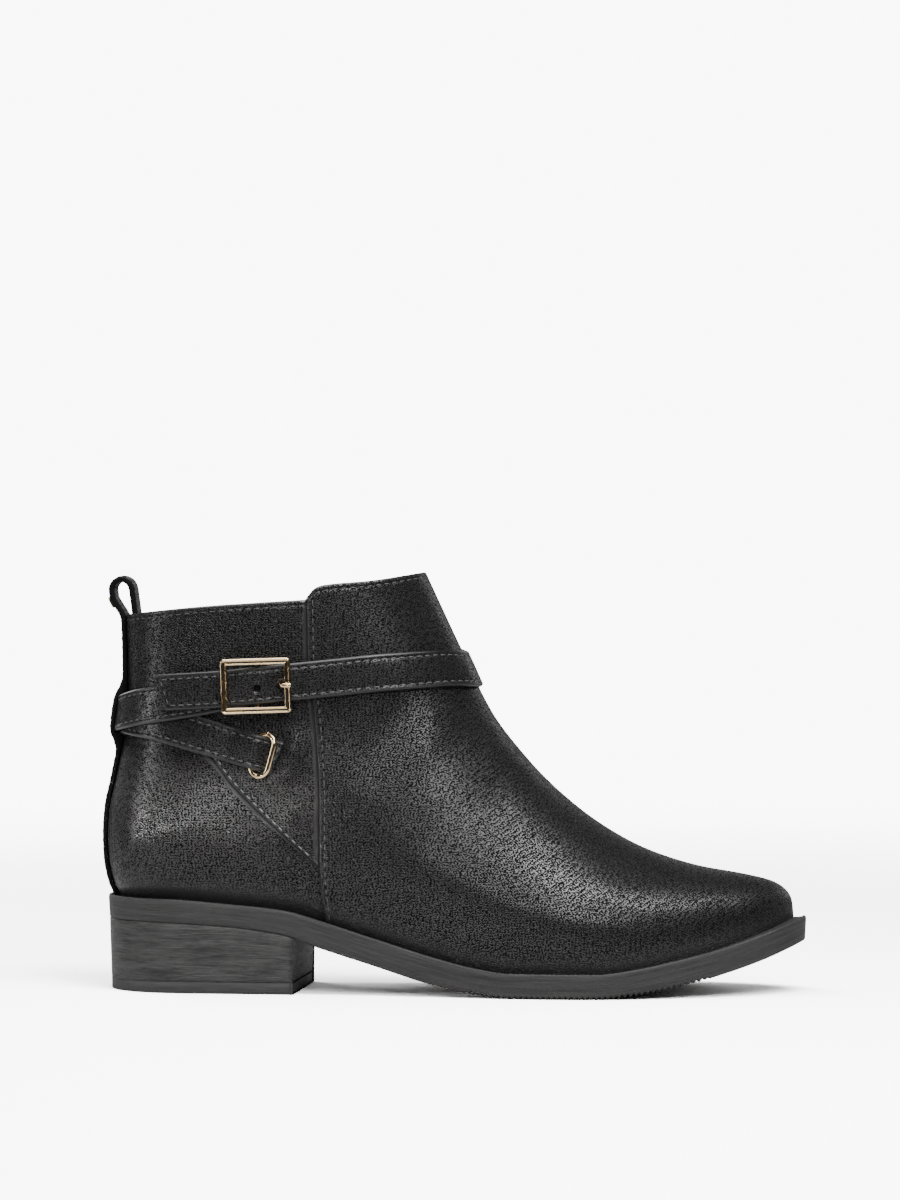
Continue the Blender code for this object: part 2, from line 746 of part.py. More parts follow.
# Back strip: runs up the back seam and passes over both straps
BACK_STRIP_WIDTH, BACK_STRIP_THICKNESS = 11.0, 1.8
STRIP_HUMP_HALF = STRAP_WIDTH / 2 + 0.9
back_strip_route = [
    Stop(BACK, None, 36.2, ON_COUNTER),
    Stop(BACK, None, 91.0, ON_COUNTER),
    Stop(BACK, None, STRAPS_AT_BACK_Z - STRIP_HUMP_HALF, OVER_TWO + GAP / 2),
    Stop(BACK, None, STRAPS_AT_BACK_Z + STRIP_HUMP_HALF, OVER_TWO + GAP / 2),
    Stop(BACK, None, 118.5, ON_QUARTER),
    Stop(BACK, None, 141.0, ON_QUARTER),
]
solid("back_strip", strip(back_strip_route, BACK_STRIP_WIDTH, BACK_STRIP_THICKNESS, 60), strap_leather)

# Pull loop: a folded strip that stands on the collar's back edge and ends inside
LoopPoint = namedtuple("LoopPoint", "x z")
LOOP_WIDTH, LOOP_THICKNESS, LOOP_STEPS = 11.0, 2.2, 30
LOOP_ROUTE = [
    LoopPoint(5.4, 141.8),
    LoopPoint(5.2, 142.7),
    LoopPoint(3.4, 145.6),
    LoopPoint(1.9, 148.6),
    LoopPoint(1.6, 151.6),
    LoopPoint(2.9, 154.2),
    LoopPoint(5.4, 155.3),
    LoopPoint(7.9, 154.3),
    LoopPoint(9.3, 151.8),
    LoopPoint(9.8, 148.5),
    LoopPoint(10.4, 144.0),
    LoopPoint(10.8, 140.0),
    LoopPoint(11.0, 131.0),
]
loop_run = np.concatenate(([0.0], np.cumsum([math.dist(a, b) for a, b in zip(LOOP_ROUTE, LOOP_ROUTE[1:])])))
loop_x = smooth_curve(loop_run, [p.x for p in LOOP_ROUTE])
loop_z = smooth_curve(loop_run, [p.z for p in LOOP_ROUTE])


def loop_point(d):
    return np.array((loop_x(d), 0.0, loop_z(d)))


def box_section(width, thickness):
    a, b = width / 2, thickness / 2
    return [(a, b), (-a, b), (-a, -b), (a, -b)]


loop_path = [loop_point(loop_run[-1] * i / LOOP_STEPS) for i in range(LOOP_STEPS + 1)]
solid("pull_loop", rod(loop_path, box_section(LOOP_THICKNESS, LOOP_WIDTH), (0, 1, 0)), strap_leather)

PLATE_LENGTH, PLATE_WIDTH, PLATE_THICKNESS, PLATE_CORNER = 4.4, 7.0, 0.7, 1.0
plate_along = unit(np.subtract(LOOP_ROUTE[3], LOOP_ROUTE[2]))
plate_out = np.array((-plate_along[1], plate_along[0]))
plate_middle = np.add(LOOP_ROUTE[3], LOOP_ROUTE[2]) / 2
plate_middle = plate_middle + plate_out * (LOOP_THICKNESS / 2 + GAP + PLATE_THICKNESS / 2)
plate_frame = Matrix((
    (plate_along[0], 0, plate_out[0], plate_middle[0]),
    (0, 1, 0, 0),
    (plate_along[1], 0, plate_out[1], plate_middle[1]),
    (0, 0, 0, 1),
))
plate_outline = rounded_box(PLATE_LENGTH, PLATE_WIDTH, PLATE_CORNER)
plate = prism(plate_outline, -PLATE_THICKNESS / 2, PLATE_THICKNESS / 2)
solid("loop_plate", plate, pale_gold, plate_frame)


# Metal fittings stand in a frame of their own on the last: forward, up and outward
def fitting_frame(x, z, side, lean=0.0):
    turn, t = place_at(x, z, side)
    out = normal(turn, t)
    up = unit(np.array((0.0, 0.0, 1.0)) - out * out[2])
    ahead = np.cross(up, out) * -side
    ahead, up = math.cos(lean) * ahead - math.sin(lean) * up, math.cos(lean) * up + math.sin(lean) * ahead
    origin = point(turn, t)
    return Matrix([(*(ahead[k], up[k], out[k]), origin[k]) for k in range(3)] + [(0, 0, 0, 1)])


ring_bend = RING_CORNER - RING_WIRE
ring_path = [
    (a, b, ring_low + (ring_high - ring_low) * (a + ring_bar) / (2 * ring_bar))
    for a, b in rounded_box(2 * ring_bar, RING_HEIGHT - 2 * RING_WIRE, ring_bend, RING_CORNER_STEPS)
]
ring_frame = fitting_frame(RING_X, RING_Z, OUTER, RING_LEAN)
solid("ring", rod(ring_path, round_section(RING_WIRE), (0, 0, 1), closed=True), pale_gold, ring_frame)

BUCKLE_LENGTH, BUCKLE_HEIGHT, BUCKLE_CORNER = 26.4, 20.8, 2.4
BAR_WIDTH, BAR_THICKNESS, BAR_CHAMFER = 2.5, 2.2, 0.6
BUCKLE_LEAN = math.radians(-1.8)
BUCKLE_REAR, BUCKLE_FRONT = 6.6, 4.9
CENTRE_BAR_DEPTH = 2.5
CENTRE_BAR_REACH = 8.0
BAR_SINK = 0.5
half_length = (BUCKLE_LENGTH - BAR_WIDTH) / 2
half_height = (BUCKLE_HEIGHT - BAR_WIDTH) / 2


def buckle_plane(a):
    """Height of the buckle's own plane, which tips down towards the front."""
    return BUCKLE_REAR + (BUCKLE_FRONT - BUCKLE_REAR) * (a + half_length) / (2 * half_length)


def chamfered_section(width, thickness, chamfer):
    a, b = width / 2, thickness / 2
    near_a, near_b = a - chamfer, b - chamfer
    top_half = [(a, near_b), (near_a, b), (-near_a, b), (-a, near_b)]
    return top_half + [(-x, -y) for x, y in top_half]


buckle_path = [
    (a, b, buckle_plane(a))
    for a, b in rounded_box(2 * half_length, 2 * half_height, BUCKLE_CORNER - BAR_WIDTH / 2)
]
buckle_section = chamfered_section(BAR_WIDTH, BAR_THICKNESS, BAR_CHAMFER)
buckle_frame = fitting_frame(BUCKLE_X, BUCKLE_Z, OUTER, BUCKLE_LEAN)
buckle_rod = rod(buckle_path, buckle_section, (0, 0, 1), closed=True)
buckle = solid("buckle_frame", buckle_rod, pale_gold, buckle_frame)
bar_path = [
    (0, half_height - BAR_SINK, buckle_plane(0)),
    (0, CENTRE_BAR_REACH, CENTRE_BAR_DEPTH + CENTRE_BAR_RADIUS),
    (0, CENTRE_BAR_REACH - CENTRE_BAR_RADIUS, CENTRE_BAR_DEPTH),
    (0, CENTRE_BAR_RADIUS - CENTRE_BAR_REACH, CENTRE_BAR_DEPTH),
    (0, -CENTRE_BAR_REACH, CENTRE_BAR_DEPTH + CENTRE_BAR_RADIUS),
    (0, BAR_SINK - half_height, buckle_plane(0)),
]
unite(buckle, "centre_bar", rod(bar_path, round_section(CENTRE_BAR_RADIUS), (1, 0, 0)), buckle_frame)

ProngPoint = namedtuple("ProngPoint", "a height")
PRONG_RADIUS = 0.9
PRONG_ROUTE = [
    ProngPoint(CENTRE_BAR_RADIUS + GAP, 2.0),
    ProngPoint(5.0, 0.9),
    ProngPoint(8.0, 1.1),
    ProngPoint(9.1, 3.2),
    ProngPoint(9.7, 5.6),
    ProngPoint(10.8, 7.1),
    ProngPoint(12.0, 7.3),
    ProngPoint(13.4, 7.1),
]
prong_path = [(p.a, 0.0, p.height) for p in PRONG_ROUTE]
solid("buckle_prong", rod(prong_path, round_section(PRONG_RADIUS), (0, 1, 0)), pale_gold, buckle_frame)

PRONG_HOLE_START, PRONG_HOLE_END = 6.6, 10.4
PRONG_HOLE_WIDTH, PRONG_HOLE_CORNER = 2.6, 0.9
SPARE_HOLE_A, SPARE_HOLE_B, SPARE_HOLE_RADIUS, SPARE_HOLE_SIDES = 0.6, -1.0, 1.0, 12
HOLE_LOW, HOLE_HIGH = -2.0, 9.0
prong_hole = rounded_box(PRONG_HOLE_END - PRONG_HOLE_START, PRONG_HOLE_WIDTH, PRONG_HOLE_CORNER)
prong_hole = [(a + (PRONG_HOLE_START + PRONG_HOLE_END) / 2, b) for a, b in prong_hole]
spare_hole = round_section(SPARE_HOLE_RADIUS, SPARE_HOLE_SIDES)
spare_hole = [(a + SPARE_HOLE_A, b + SPARE_HOLE_B) for a, b in spare_hole]
cut(strap_front, "prong_hole", prism(prong_hole, HOLE_LOW, HOLE_HIGH), buckle_frame)
cut(strap_front, "spare_hole", prism(spare_hole, HOLE_LOW, HOLE_HIGH), buckle_frame)

# Zip: tape in the slot, a row of teeth, an end stop, the slider and its pull tab
TAPE_DEPTH, TAPE_THICKNESS = -2.3, 1.0
TEETH_WIDTH, TEETH_THICKNESS = 4.6, 1.5
TEETH_DEPTH = TAPE_DEPTH + TAPE_THICKNESS + GAP
STOP_WIDTH, STOP_THICKNESS, STOP_LENGTH = 6.4, 1.7, 4.0
ZIP_TOP_Z = 149.4


def zip_route(low_z, high_z, depth):
    heights = [low_z] + [z for z in SLOT_HEIGHTS if low_z < z < high_z] + [high_z]
    return [Stop(INNER, seam_x(z), z, depth) for z in heights]


tape_route = zip_route(ZIP_FOOT_Z + GAP, ZIP_TOP_Z, TAPE_DEPTH)
solid("zip_tape", strip(tape_route, 2 * (ZIP_HALF_SLOT - GAP), TAPE_THICKNESS, 24), zip_cloth)
stop_low = ZIP_FOOT_Z + 2 * GAP
stop_route = zip_route(stop_low, stop_low + STOP_LENGTH, TEETH_DEPTH)
solid("zip_stop", strip(stop_route, STOP_WIDTH, STOP_THICKNESS, 2), zip_metal)
teeth_route = zip_route(stop_low + STOP_LENGTH + GAP, ZIP_TOP_Z, TEETH_DEPTH)
solid("zip_teeth", strip(teeth_route, TEETH_WIDTH, TEETH_THICKNESS, 30), zip_metal)

SLIDER_Z = 142.0
SLIDER_LENGTH, SLIDER_HALF, SLIDER_CORNER = 11.0, 4.1, 0.6
FLANGE_CLEAR = 0.4
FLANGE_INNER = TEETH_WIDTH / 2 + FLANGE_CLEAR
SLIDER_PLATE = 1.4
SLIDER_LOW = TEETH_DEPTH + TEETH_THICKNESS + GAP
SLIDER_TOP = SLIDER_LOW + SLIDER_PLATE
slider_frame = fitting_frame(seam_x(SLIDER_Z), SLIDER_Z, INNER)
slider_section = [
    (-SLIDER_HALF, TEETH_DEPTH),
    (-FLANGE_INNER, TEETH_DEPTH),
    (-FLANGE_INNER, SLIDER_LOW),
    (FLANGE_INNER, SLIDER_LOW),
    (FLANGE_INNER, TEETH_DEPTH),
    (SLIDER_HALF, TEETH_DEPTH),
    (SLIDER_HALF, SLIDER_TOP - SLIDER_CORNER),
    (SLIDER_HALF - SLIDER_CORNER, SLIDER_TOP),
    (SLIDER_CORNER - SLIDER_HALF, SLIDER_TOP),
    (-SLIDER_HALF, SLIDER_TOP - SLIDER_CORNER),
]
slider_rings = [[(a, b, c) for a, c in slider_section] for b in (-SLIDER_LENGTH / 2, SLIDER_LENGTH / 2)]
slider = solid("zip_slider", skin(slider_rings), zip_metal, slider_frame)

BRIDGE_HALF_WIDTH, BRIDGE_HALF_LENGTH, BRIDGE_HEIGHT, BRIDGE_WALL = 1.1, 3.2, 3.0, 1.1
BRIDGE_SINK, BRIDGE_CORNER, EYE_CORNER = 0.4, 0.8, 0.5
EYE_HEIGHT = BRIDGE_HEIGHT - BRIDGE_WALL
bridge_half = [
    (BRIDGE_HALF_LENGTH, -BRIDGE_SINK),
    (BRIDGE_HALF_LENGTH, BRIDGE_HEIGHT - BRIDGE_CORNER),
    (BRIDGE_HALF_LENGTH - BRIDGE_CORNER, BRIDGE_HEIGHT),
]
eye_half = [
    (BRIDGE_HALF_LENGTH - BRIDGE_WALL, -BRIDGE_SINK),
    (BRIDGE_HALF_LENGTH - BRIDGE_WALL, EYE_HEIGHT - EYE_CORNER),
    (BRIDGE_HALF_LENGTH - BRIDGE_WALL - EYE_CORNER, EYE_HEIGHT),
]
bridge_outline = bridge_half + [(-b, c) for b, c in reversed(bridge_half)]
bridge_outline += [(-b, c) for b, c in eye_half] + list(reversed(eye_half))
bridge_sides = (-BRIDGE_HALF_WIDTH, BRIDGE_HALF_WIDTH)
bridge_rings = [[(a, b, SLIDER_TOP + c) for b, c in bridge_outline] for a in bridge_sides]
unite(slider, "slider_bridge", skin(bridge_rings), slider_frame)

PULL_LENGTH, PULL_HALF, PULL_THICKNESS, PULL_CORNER = 22.0, 3.1, 1.1, 0.5
WINDOW_CLEAR, WINDOW_END, WINDOW_CORNER = 0.5, -4.4, 0.3
WINDOW_HALF = BRIDGE_HALF_WIDTH + WINDOW_CLEAR
pivot_height = SLIDER_TOP + EYE_HEIGHT / 2
pull_pivot = slider_frame @ Vector((0, 0, pivot_height))
pull_top = PULL_THICKNESS / 2
pull_outline = rounded_box(2 * PULL_HALF, PULL_LENGTH, PULL_CORNER)
pull_outline = [(a, b + pull_top - PULL_LENGTH / 2) for a, b in pull_outline]
pull_low, pull_high = pivot_height - pull_top, pivot_height + pull_top
pull = solid("zip_pull", prism(pull_outline, pull_low, pull_high), zip_metal, slider_frame, pull_pivot)
window_length = -pull_top - WINDOW_END
window = rounded_box(2 * WINDOW_HALF, window_length, WINDOW_CORNER)
window = [(a, b - pull_top - window_length / 2) for a, b in window]
cut(pull, "pull_window", prism(window, pull_low - 1, pull_high + 1), slider_frame)

# The boot stands with the middle of its base on the origin
bpy.context.view_layer.update()
corners = []
for made in bpy.data.objects:
    if made.type == "MESH" and not made.hide_render:
        corners += [made.matrix_world @ v.co for v in made.data.vertices]
middle = [(min(c[k] for c in corners) + max(c[k] for c in corners)) / 2 for k in (0, 1)]
root.location = (-middle[0], -middle[1], 0.0)
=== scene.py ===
import math
from collections import namedtuple

import bmesh
import bpy
import numpy as np
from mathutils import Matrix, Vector


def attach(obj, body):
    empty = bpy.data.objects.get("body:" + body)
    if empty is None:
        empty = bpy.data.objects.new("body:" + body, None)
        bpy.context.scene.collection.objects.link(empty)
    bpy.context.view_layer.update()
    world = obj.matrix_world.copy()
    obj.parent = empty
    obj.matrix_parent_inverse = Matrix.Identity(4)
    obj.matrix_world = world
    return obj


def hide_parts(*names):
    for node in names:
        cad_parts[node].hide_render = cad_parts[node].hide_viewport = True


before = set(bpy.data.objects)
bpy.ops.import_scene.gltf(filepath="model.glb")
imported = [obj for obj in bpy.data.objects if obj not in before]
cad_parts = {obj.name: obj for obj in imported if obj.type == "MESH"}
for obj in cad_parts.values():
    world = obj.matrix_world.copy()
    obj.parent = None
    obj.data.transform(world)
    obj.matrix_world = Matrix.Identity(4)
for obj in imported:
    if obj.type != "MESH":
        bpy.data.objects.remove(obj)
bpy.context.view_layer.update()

# Outsole: one moulded rubber unit about 9 mm thick with its edge cut square and buffed, so that fine
# lines run along it. A light bead stands along the top edge and crosswise ribs cover the forefoot.
MM = 0.001
HEEL_POINT = np.array((131.551, 3.134, 0.0))
OUTER, INNER = -1, 1
SOLE_LENGTH, TOE_SWING, SWING_START = 265.0, 7.0, 110.0
SOLE_X = (0, 25, 50, 70, 85, 105, 127, 145, 157, 190, 205, 220, 235, 250, 265)
SOLE_TOP = (35.2, 35.1, 33.4, 31.4, 27.5, 21.3, 14.8, 10.6, 9.1, 9.0, 10.8, 13.9, 17.6, 22.5, 28.1)
SOLE_BOTTOM = (27.0, 26.6, 25.2, 22.6, 17.6, 11.4, 4.9, 1.4, 0.0, 0.0, 1.5, 4.3, 8.3, 13.2, 19.4)
STATIONS = (35.0, 100.0, 182.0, 238.0)
SOLE_HALF = {OUTER: (31.6, 34.0, 46.0, 42.5), INNER: (31.6, 29.5, 46.0, 43.5)}
SOLE_BACK_ROUND, SOLE_FRONT_ROUND = 33.0, 84.0
RIB_START, RIB_END, RIB_PITCH, RIB_DEPTH = 141.0, 231.0, 2.1, 0.95
BEAD = 0.42


def read(xs, ys, x):
    """A smooth curve through a table's points, which never overshoots them, read at x."""
    x = np.clip(np.asarray(x, float), xs[0], xs[-1])
    xs = np.asarray(xs, float)
    ys = np.asarray(ys, float)
    if ys.ndim == 1:
        ys = ys.reshape(-1, *[1] * x.ndim) * np.ones(x.shape)
    step = np.diff(xs).reshape(-1, *[1] * x.ndim)
    slope = np.diff(ys, axis=0) / step
    far, near = 2 * step[1:] + step[:-1], step[1:] + 2 * step[:-1]
    steady = slope[:-1] * slope[1:] > 0
    before, after = np.where(steady, slope[:-1], 1.0), np.where(steady, slope[1:], 1.0)
    mean = np.where(steady, (far + near) / (far / before + near / after), 0.0)
    lean = np.concatenate((slope[:1], mean, slope[-1:]))
    i = np.clip(np.searchsorted(xs, x, side="right") - 1, 0, len(xs) - 2)

    def pick(values, k):
        return np.take_along_axis(values, k[None], axis=0)[0]

    gap = np.diff(xs)[i]
    u = (x - xs[i]) / gap
    hold, rise, settle = 2 * u**3 - 3 * u**2 + 1, u**3 - 2 * u**2 + u, u**3 - u**2
    return (
        hold * pick(ys, i) + (1 - hold) * pick(ys, i + 1)
        + gap * (rise * pick(lean, i) + settle * pick(lean, i + 1))
    )


def ease(u):
    u = np.clip(u, 0.0, 1.0)
    return u * u * (3 - 2 * u)


def swing(x):
    return TOE_SWING * ease((np.asarray(x) - SWING_START) / (SOLE_LENGTH - SWING_START))


def end_round(distance, length):
    u = np.clip(distance / length, 0.0, 1.0)
    return np.sqrt(np.maximum(0.0, 1 - (1 - u) ** 2))


def sole_top(x):
    return read(SOLE_X, SOLE_TOP, x)


def sole_bottom(x):
    return read(SOLE_X, SOLE_BOTTOM, x)


def sole_edge(x, side):
    share = end_round(x, SOLE_BACK_ROUND) * end_round(SOLE_LENGTH - x, SOLE_FRONT_ROUND)
    return swing(x) + side * read(STATIONS, SOLE_HALF[side], x) * share


def unit(v):
    return v / np.maximum(np.linalg.norm(v, axis=-1, keepdims=True), 1e-12)


def norm(v):
    return np.linalg.norm(v, axis=-1)


def walked(points):
    """Distance along a line at each of its points."""
    return np.concatenate(([0], np.cumsum(norm(np.diff(points, axis=0)))))


def show(name, bm, smooth=False):
    """A finished mesh as an object of the scene."""
    mesh = bpy.data.meshes.new(name)
    for face in bm.faces:
        face.smooth = smooth
    bm.to_mesh(mesh)
    bm.free()
    made = bpy.data.objects.new(name, mesh)
    bpy.context.scene.collection.objects.link(made)
    return made


def lay(name, points, uv=None, round_u=False, round_v=False, caps=False):
    """A grid of points (rows, columns, 3) in millimetres from the heel point, as an object in metres."""
    rows, columns = points.shape[:2]
    bm = bmesh.new()
    layer = bm.loops.layers.uv.new("UVMap")
    bmesh.ops.create_grid(bm, x_segments=columns - 1, y_segments=rows - 1, size=1.0)
    flat = ((points - HEEL_POINT) * MM).reshape(-1, 3)
    for vert, place in zip(bm.verts, flat):
        vert.co = place
    if uv is not None:
        spread = uv.reshape(-1, 2)
        for face in bm.faces:
            for loop in face.loops:
                loop[layer].uv = spread[loop.vert.index]
    if round_u or round_v:
        edge = [v for v in bm.verts if v.is_boundary]
        bmesh.ops.remove_doubles(bm, verts=edge, dist=1e-7)
    bmesh.ops.dissolve_degenerate(bm, dist=1e-8, edges=bm.edges)
    if caps:
        bmesh.ops.holes_fill(bm, edges=[e for e in bm.edges if e.is_boundary], sides=0)
        bmesh.ops.recalc_face_normals(bm, faces=bm.faces)
    return show(name, bm, True)


def dress(piece, material, nodes, body="boot"):
    piece.data.materials.append(material)
    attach(piece, body)
    for name in nodes:
        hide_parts(name)


def shader(name, colour, roughness, metallic=0.0):
    material = bpy.data.materials.new(name)
    material.use_nodes = True
    tree = material.node_tree
    bsdf = tree.nodes["Principled BSDF"]
    bsdf.inputs["Base Color"].default_value = (*colour, 1.0)
    bsdf.inputs["Roughness"].default_value = roughness
    bsdf.inputs["Metallic"].default_value = metallic
    return material, tree, bsdf


def add(tree, kind, inputs, output=0, **settings):
    """An output of a new shader node; an input that is a socket is linked, and any other is set."""
    made = tree.nodes.new("ShaderNode" + kind)
    for key, value in settings.items():
        setattr(made, key, value)
    for key, value in inputs.items():
        if isinstance(value, bpy.types.NodeSocket):
            tree.links.new(value, made.inputs[key])
        else:
            made.inputs[key].default_value = value
    return made.outputs[output]


def feed(tree, bsdf, **sockets):
    for name, value in sockets.items():
        tree.links.new(value, bsdf.inputs[name.replace("_", " ")])


def streaked(name, dark, light, roughness, run, depth):
    """Dark rubber with fine lines along the UV map's first axis, run millimetres long or so."""
    material, tree, bsdf = shader(name, light, roughness)
    place = add(tree, "TexCoord", {}, "UV")

    def noise(length, height, **inputs):
        cells = add(tree, "VectorMath", {0: place, 1: (1 / length, 1 / height, 1.0)}, operation="MULTIPLY")
        return add(tree, "TexNoise", {"Vector": cells, "Scale": 1.0, **inputs})

    lines = noise(run, 0.55, Detail=3.0, Roughness=0.6)
    bands = noise(3 * run, 2.2, Detail=2.0)
    both = add(tree, "Math", {0: lines, 1: bands}, operation="ADD")
    share = add(tree, "MapRange", {0: both, 1: 0.72, 2: 1.25})
    tone = add(tree, "Mix", {0: share, 6: (*dark, 1.0), 7: (*light, 1.0)}, 2, data_type="RGBA")
    bump = add(tree, "Bump", {"Strength": 1.0, "Distance": depth, "Height": lines})
    feed(tree, bsdf, Base_Color=tone, Normal=bump)
    return material


sole_rubber = streaked("sole_rubber", (0.010, 0.010, 0.010), (0.033, 0.032, 0.032), 0.6, 16.0, 0.0003)
ends = SOLE_LENGTH * (1 - np.cos(np.pi * np.arange(171) / 170)) / 2
even = np.arange(2.0, SOLE_LENGTH - 2.0, RIB_PITCH / 4)
sole_x = np.unique(np.concatenate((ends, even)))
apart = np.concatenate(([True], np.diff(sole_x) > 0.12))
sole_x = sole_x[apart | (sole_x < 2.0) | (sole_x > SOLE_LENGTH - 2.0)]
frayed = 1.0 + 0.3 * np.sin(sole_x * 2.3) * np.sin(sole_x * 0.71) + 0.25 * np.sin(sole_x * 3.9 + 1.0)
rim, inward = {}, {}
for side in (OUTER, INNER):
    rim[side] = np.stack((sole_x, sole_edge(sole_x, side)), axis=1)
loop = np.concatenate((rim[OUTER], rim[INNER][-2:0:-1]))
along = unit(np.roll(loop, -1, axis=0) - np.roll(loop, 1, axis=0))
across = np.stack((-along[:, 1], along[:, 0]), axis=1)
inward[OUTER] = across[: len(sole_x)]
inward[INNER] = np.concatenate((across[:1], across[len(sole_x):][::-1], across[len(sole_x) - 1: len(sole_x)]))
saw = np.where((sole_x > RIB_START) & (sole_x < RIB_END), np.abs((sole_x / RIB_PITCH) % 1.0 * 2 - 1), 0.0)
saw = RIB_DEPTH * ease(saw * 1.4 - 0.2)
top, bottom = sole_top(sole_x), sole_bottom(sole_x)
edge_rows = [(7.0, 0.0), (1.3, 0.0), (1.0, BEAD * 0.6), (0.7, BEAD), (0.35, BEAD * 0.85), (0.1, BEAD * 0.3)]
edge_rows += [(0.08, -0.25), (0.0, -0.5)]
rows, row_v = [], []
for inset, rise in edge_rows:
    rows.append((inset, top + rise * (frayed if rise > 0 else 1.0)))
    row_v.append(rise - inset)
for share in np.linspace(0.12, 1.0, 9):
    rows.append((0.4 * share, top - 0.5 + (bottom + 0.6 + 0.5 * saw - top + 0.5) * share))
    row_v.append(-0.5 - 8.0 * share)
for inset, rise in ((0.5, 0.25), (0.9, 0.0), (3.0, 0.0)):
    rows.append((inset, bottom + rise + saw))
    row_v.append(-9.2 - inset)
ring, ring_v = [], []
for side, order in ((OUTER, 1), (INNER, -1)):
    for (inset, z), v in list(zip(rows, row_v))[::order]:
        flat = rim[side] + inward[side] * inset
        ring.append(np.column_stack((flat, z)))
        ring_v.append(v)
    if side == OUTER:
        low = ring[-1]
        for share in (0.25, 0.5, 0.75):
            other = np.column_stack((rim[INNER] + inward[INNER] * 3.0, bottom + saw))
            ring.append(low + (other - low) * share)
            ring_v.append(-14.0)
ring.append(ring[0])
ring_v.append(0.0)
points = np.stack(ring)
around = np.broadcast_to(walked(rim[OUTER]), points.shape[:2])
uv = np.stack((around, np.broadcast_to(np.array(ring_v)[:, None], points.shape[:2])), axis=-1)
outsole = lay("outsole_rubber", points, uv, round_v=True)
dress(outsole, sole_rubber, ["outsole"])

# Heel block and top lift: a moulded block with the look of stacked leather, fixed under the sole's seat,
# and a darker wearing piece of rubber below it. Both follow the sole's edge and end in a flat breast.
HEEL_BREAST, LIFT_HEIGHT = 75.3, 4.4
heel_rubber = streaked("heel_rubber", (0.001, 0.001, 0.001), (0.052, 0.051, 0.050), 0.55, 7.0, 0.0007)
lift_rubber = streaked("lift_rubber", (0.020, 0.020, 0.020), (0.040, 0.040, 0.040), 0.65, 9.0, 0.0002)


def heel_piece(name, levels, material, node):
    """Rings of the heel's outline: each level gives an inset and a height along the foot."""
    xs = (HEEL_BREAST - 0.35) * (1 - np.cos(np.pi / 2 * np.arange(61) / 60))
    outer = np.stack((xs, sole_edge(xs, OUTER)), axis=1)[::-1]
    inner = np.stack((xs, sole_edge(xs, INNER)), axis=1)[1:]
    breast = np.linspace(inner[-1, 1] - 0.35, outer[0, 1] + 0.35, 16)
    breast = np.stack((np.full(16, HEEL_BREAST), breast), axis=1)
    line = np.concatenate((outer, inner, breast, outer[:1]))
    ahead = unit(np.roll(line[:-1], -1, axis=0) - np.roll(line[:-1], 1, axis=0))
    inside = np.stack((ahead[:, 1], -ahead[:, 0]), axis=1)
    inside = np.concatenate((inside, inside[:1]))
    run = walked(line)
    rings = []
    for inset, height in levels:
        flat = line + inside * inset
        rings.append(np.column_stack((flat, height(line[:, 0]))))
    points = np.stack(rings)
    uv = np.stack((np.broadcast_to(run, points.shape[:2]), points[..., 2]), axis=-1)
    dress(lay(name, points[::-1], uv[::-1], round_u=True, caps=True), material, [node])


heel_levels = [(0.75, lambda x: sole_bottom(x) + 0.02), (0.45, lambda x: sole_bottom(x) - 0.2)]
for share in np.linspace(0.1, 0.95, 10):
    heel_levels.append((
        0.42 + 0.7 * share,
        lambda x, share=share: sole_bottom(x) - 0.3 + (LIFT_HEIGHT + 0.4 - sole_bottom(x)) * share,
    ))
heel_levels += [(1.14, lambda x: LIFT_HEIGHT + 0.1 + 0 * x), (1.3, lambda x: LIFT_HEIGHT + 0.02 + 0 * x)]
lift_levels = [
    (inset, lambda x, z=z: z + 0 * x)
    for inset, z in (
        (1.3, LIFT_HEIGHT), (1.16, LIFT_HEIGHT - 0.1), (1.2, 2.2), (1.2, 0.5), (1.35, 0.15), (1.7, 0.0)
    )
]
heel_piece("heel_stack", heel_levels, heel_rubber, "heel_block")
heel_piece("heel_lift", lift_levels, lift_rubber, "top_lift")

# The last: the form that the leather is pulled over. Each level runs once round the foot from the back,
# the outer side first, and a spline over a net of its points gives every place and its outward face.
PROFILE_T = (0.0, 0.04, 0.08, 0.125, 0.22, 0.31, 0.41, 0.525, 0.61, 0.71, 0.85, 1.0)
BACK_X = (2.4, 0.3, -0.8, -1.6, -2.0, -1.4, 0.8, 3.3, 5.5, 6.6, 6.5, 6.0)
BACK_Z = (35.5, 40.0, 44.4, 49.0, 59.0, 68.5, 79.0, 91.0, 100.5, 111.5, 126.0, 141.8)
FRONT_X = (260.4, 259.6, 253.8, 243.6, 225.0, 206.7, 188.8, 170.9, 158.9, 146.5, 134.3, 121.0)
FRONT_Z = (26.6, 35.2, 41.1, 43.9, 47.2, 52.8, 62.2, 76.2, 88.7, 104.9, 130.0, 158.4)
BACK_ROUND = (30, 31, 32, 33, 34, 36, 38, 40, 42, 43, 43, 42)
FRONT_ROUND = (80, 84, 88, 92, 96, 98, 98, 94, 88, 78, 66, 56)
WIDTH_T = (0.0, 0.04, 0.125, 0.25, 0.45, 0.7, 1.0)
HALF_WIDTHS = {
    OUTER: (
        (27.0, 28.8, 30.4, 31.4, 31.0, 28.4, 30.2),
        (29.5, 31.5, 33.0, 34.2, 33.6, 30.8, 30.6),
        (41.0, 43.2, 44.0, 42.5, 39.0, 36.0, 30.8),
        (37.0, 38.0, 37.0, 35.0, 33.0, 33.0, 30.8),
    ),
    INNER: (
        (27.0, 28.8, 30.4, 31.4, 31.0, 28.4, 30.2),
        (25.5, 28.0, 31.0, 33.0, 33.6, 30.8, 30.6),
        (41.0, 43.2, 44.5, 43.5, 41.0, 36.0, 30.8),
        (38.0, 39.5, 39.0, 37.0, 35.0, 33.0, 30.8),
    ),
}
COLLAR_X = (6, 33, 58, 103, 121)
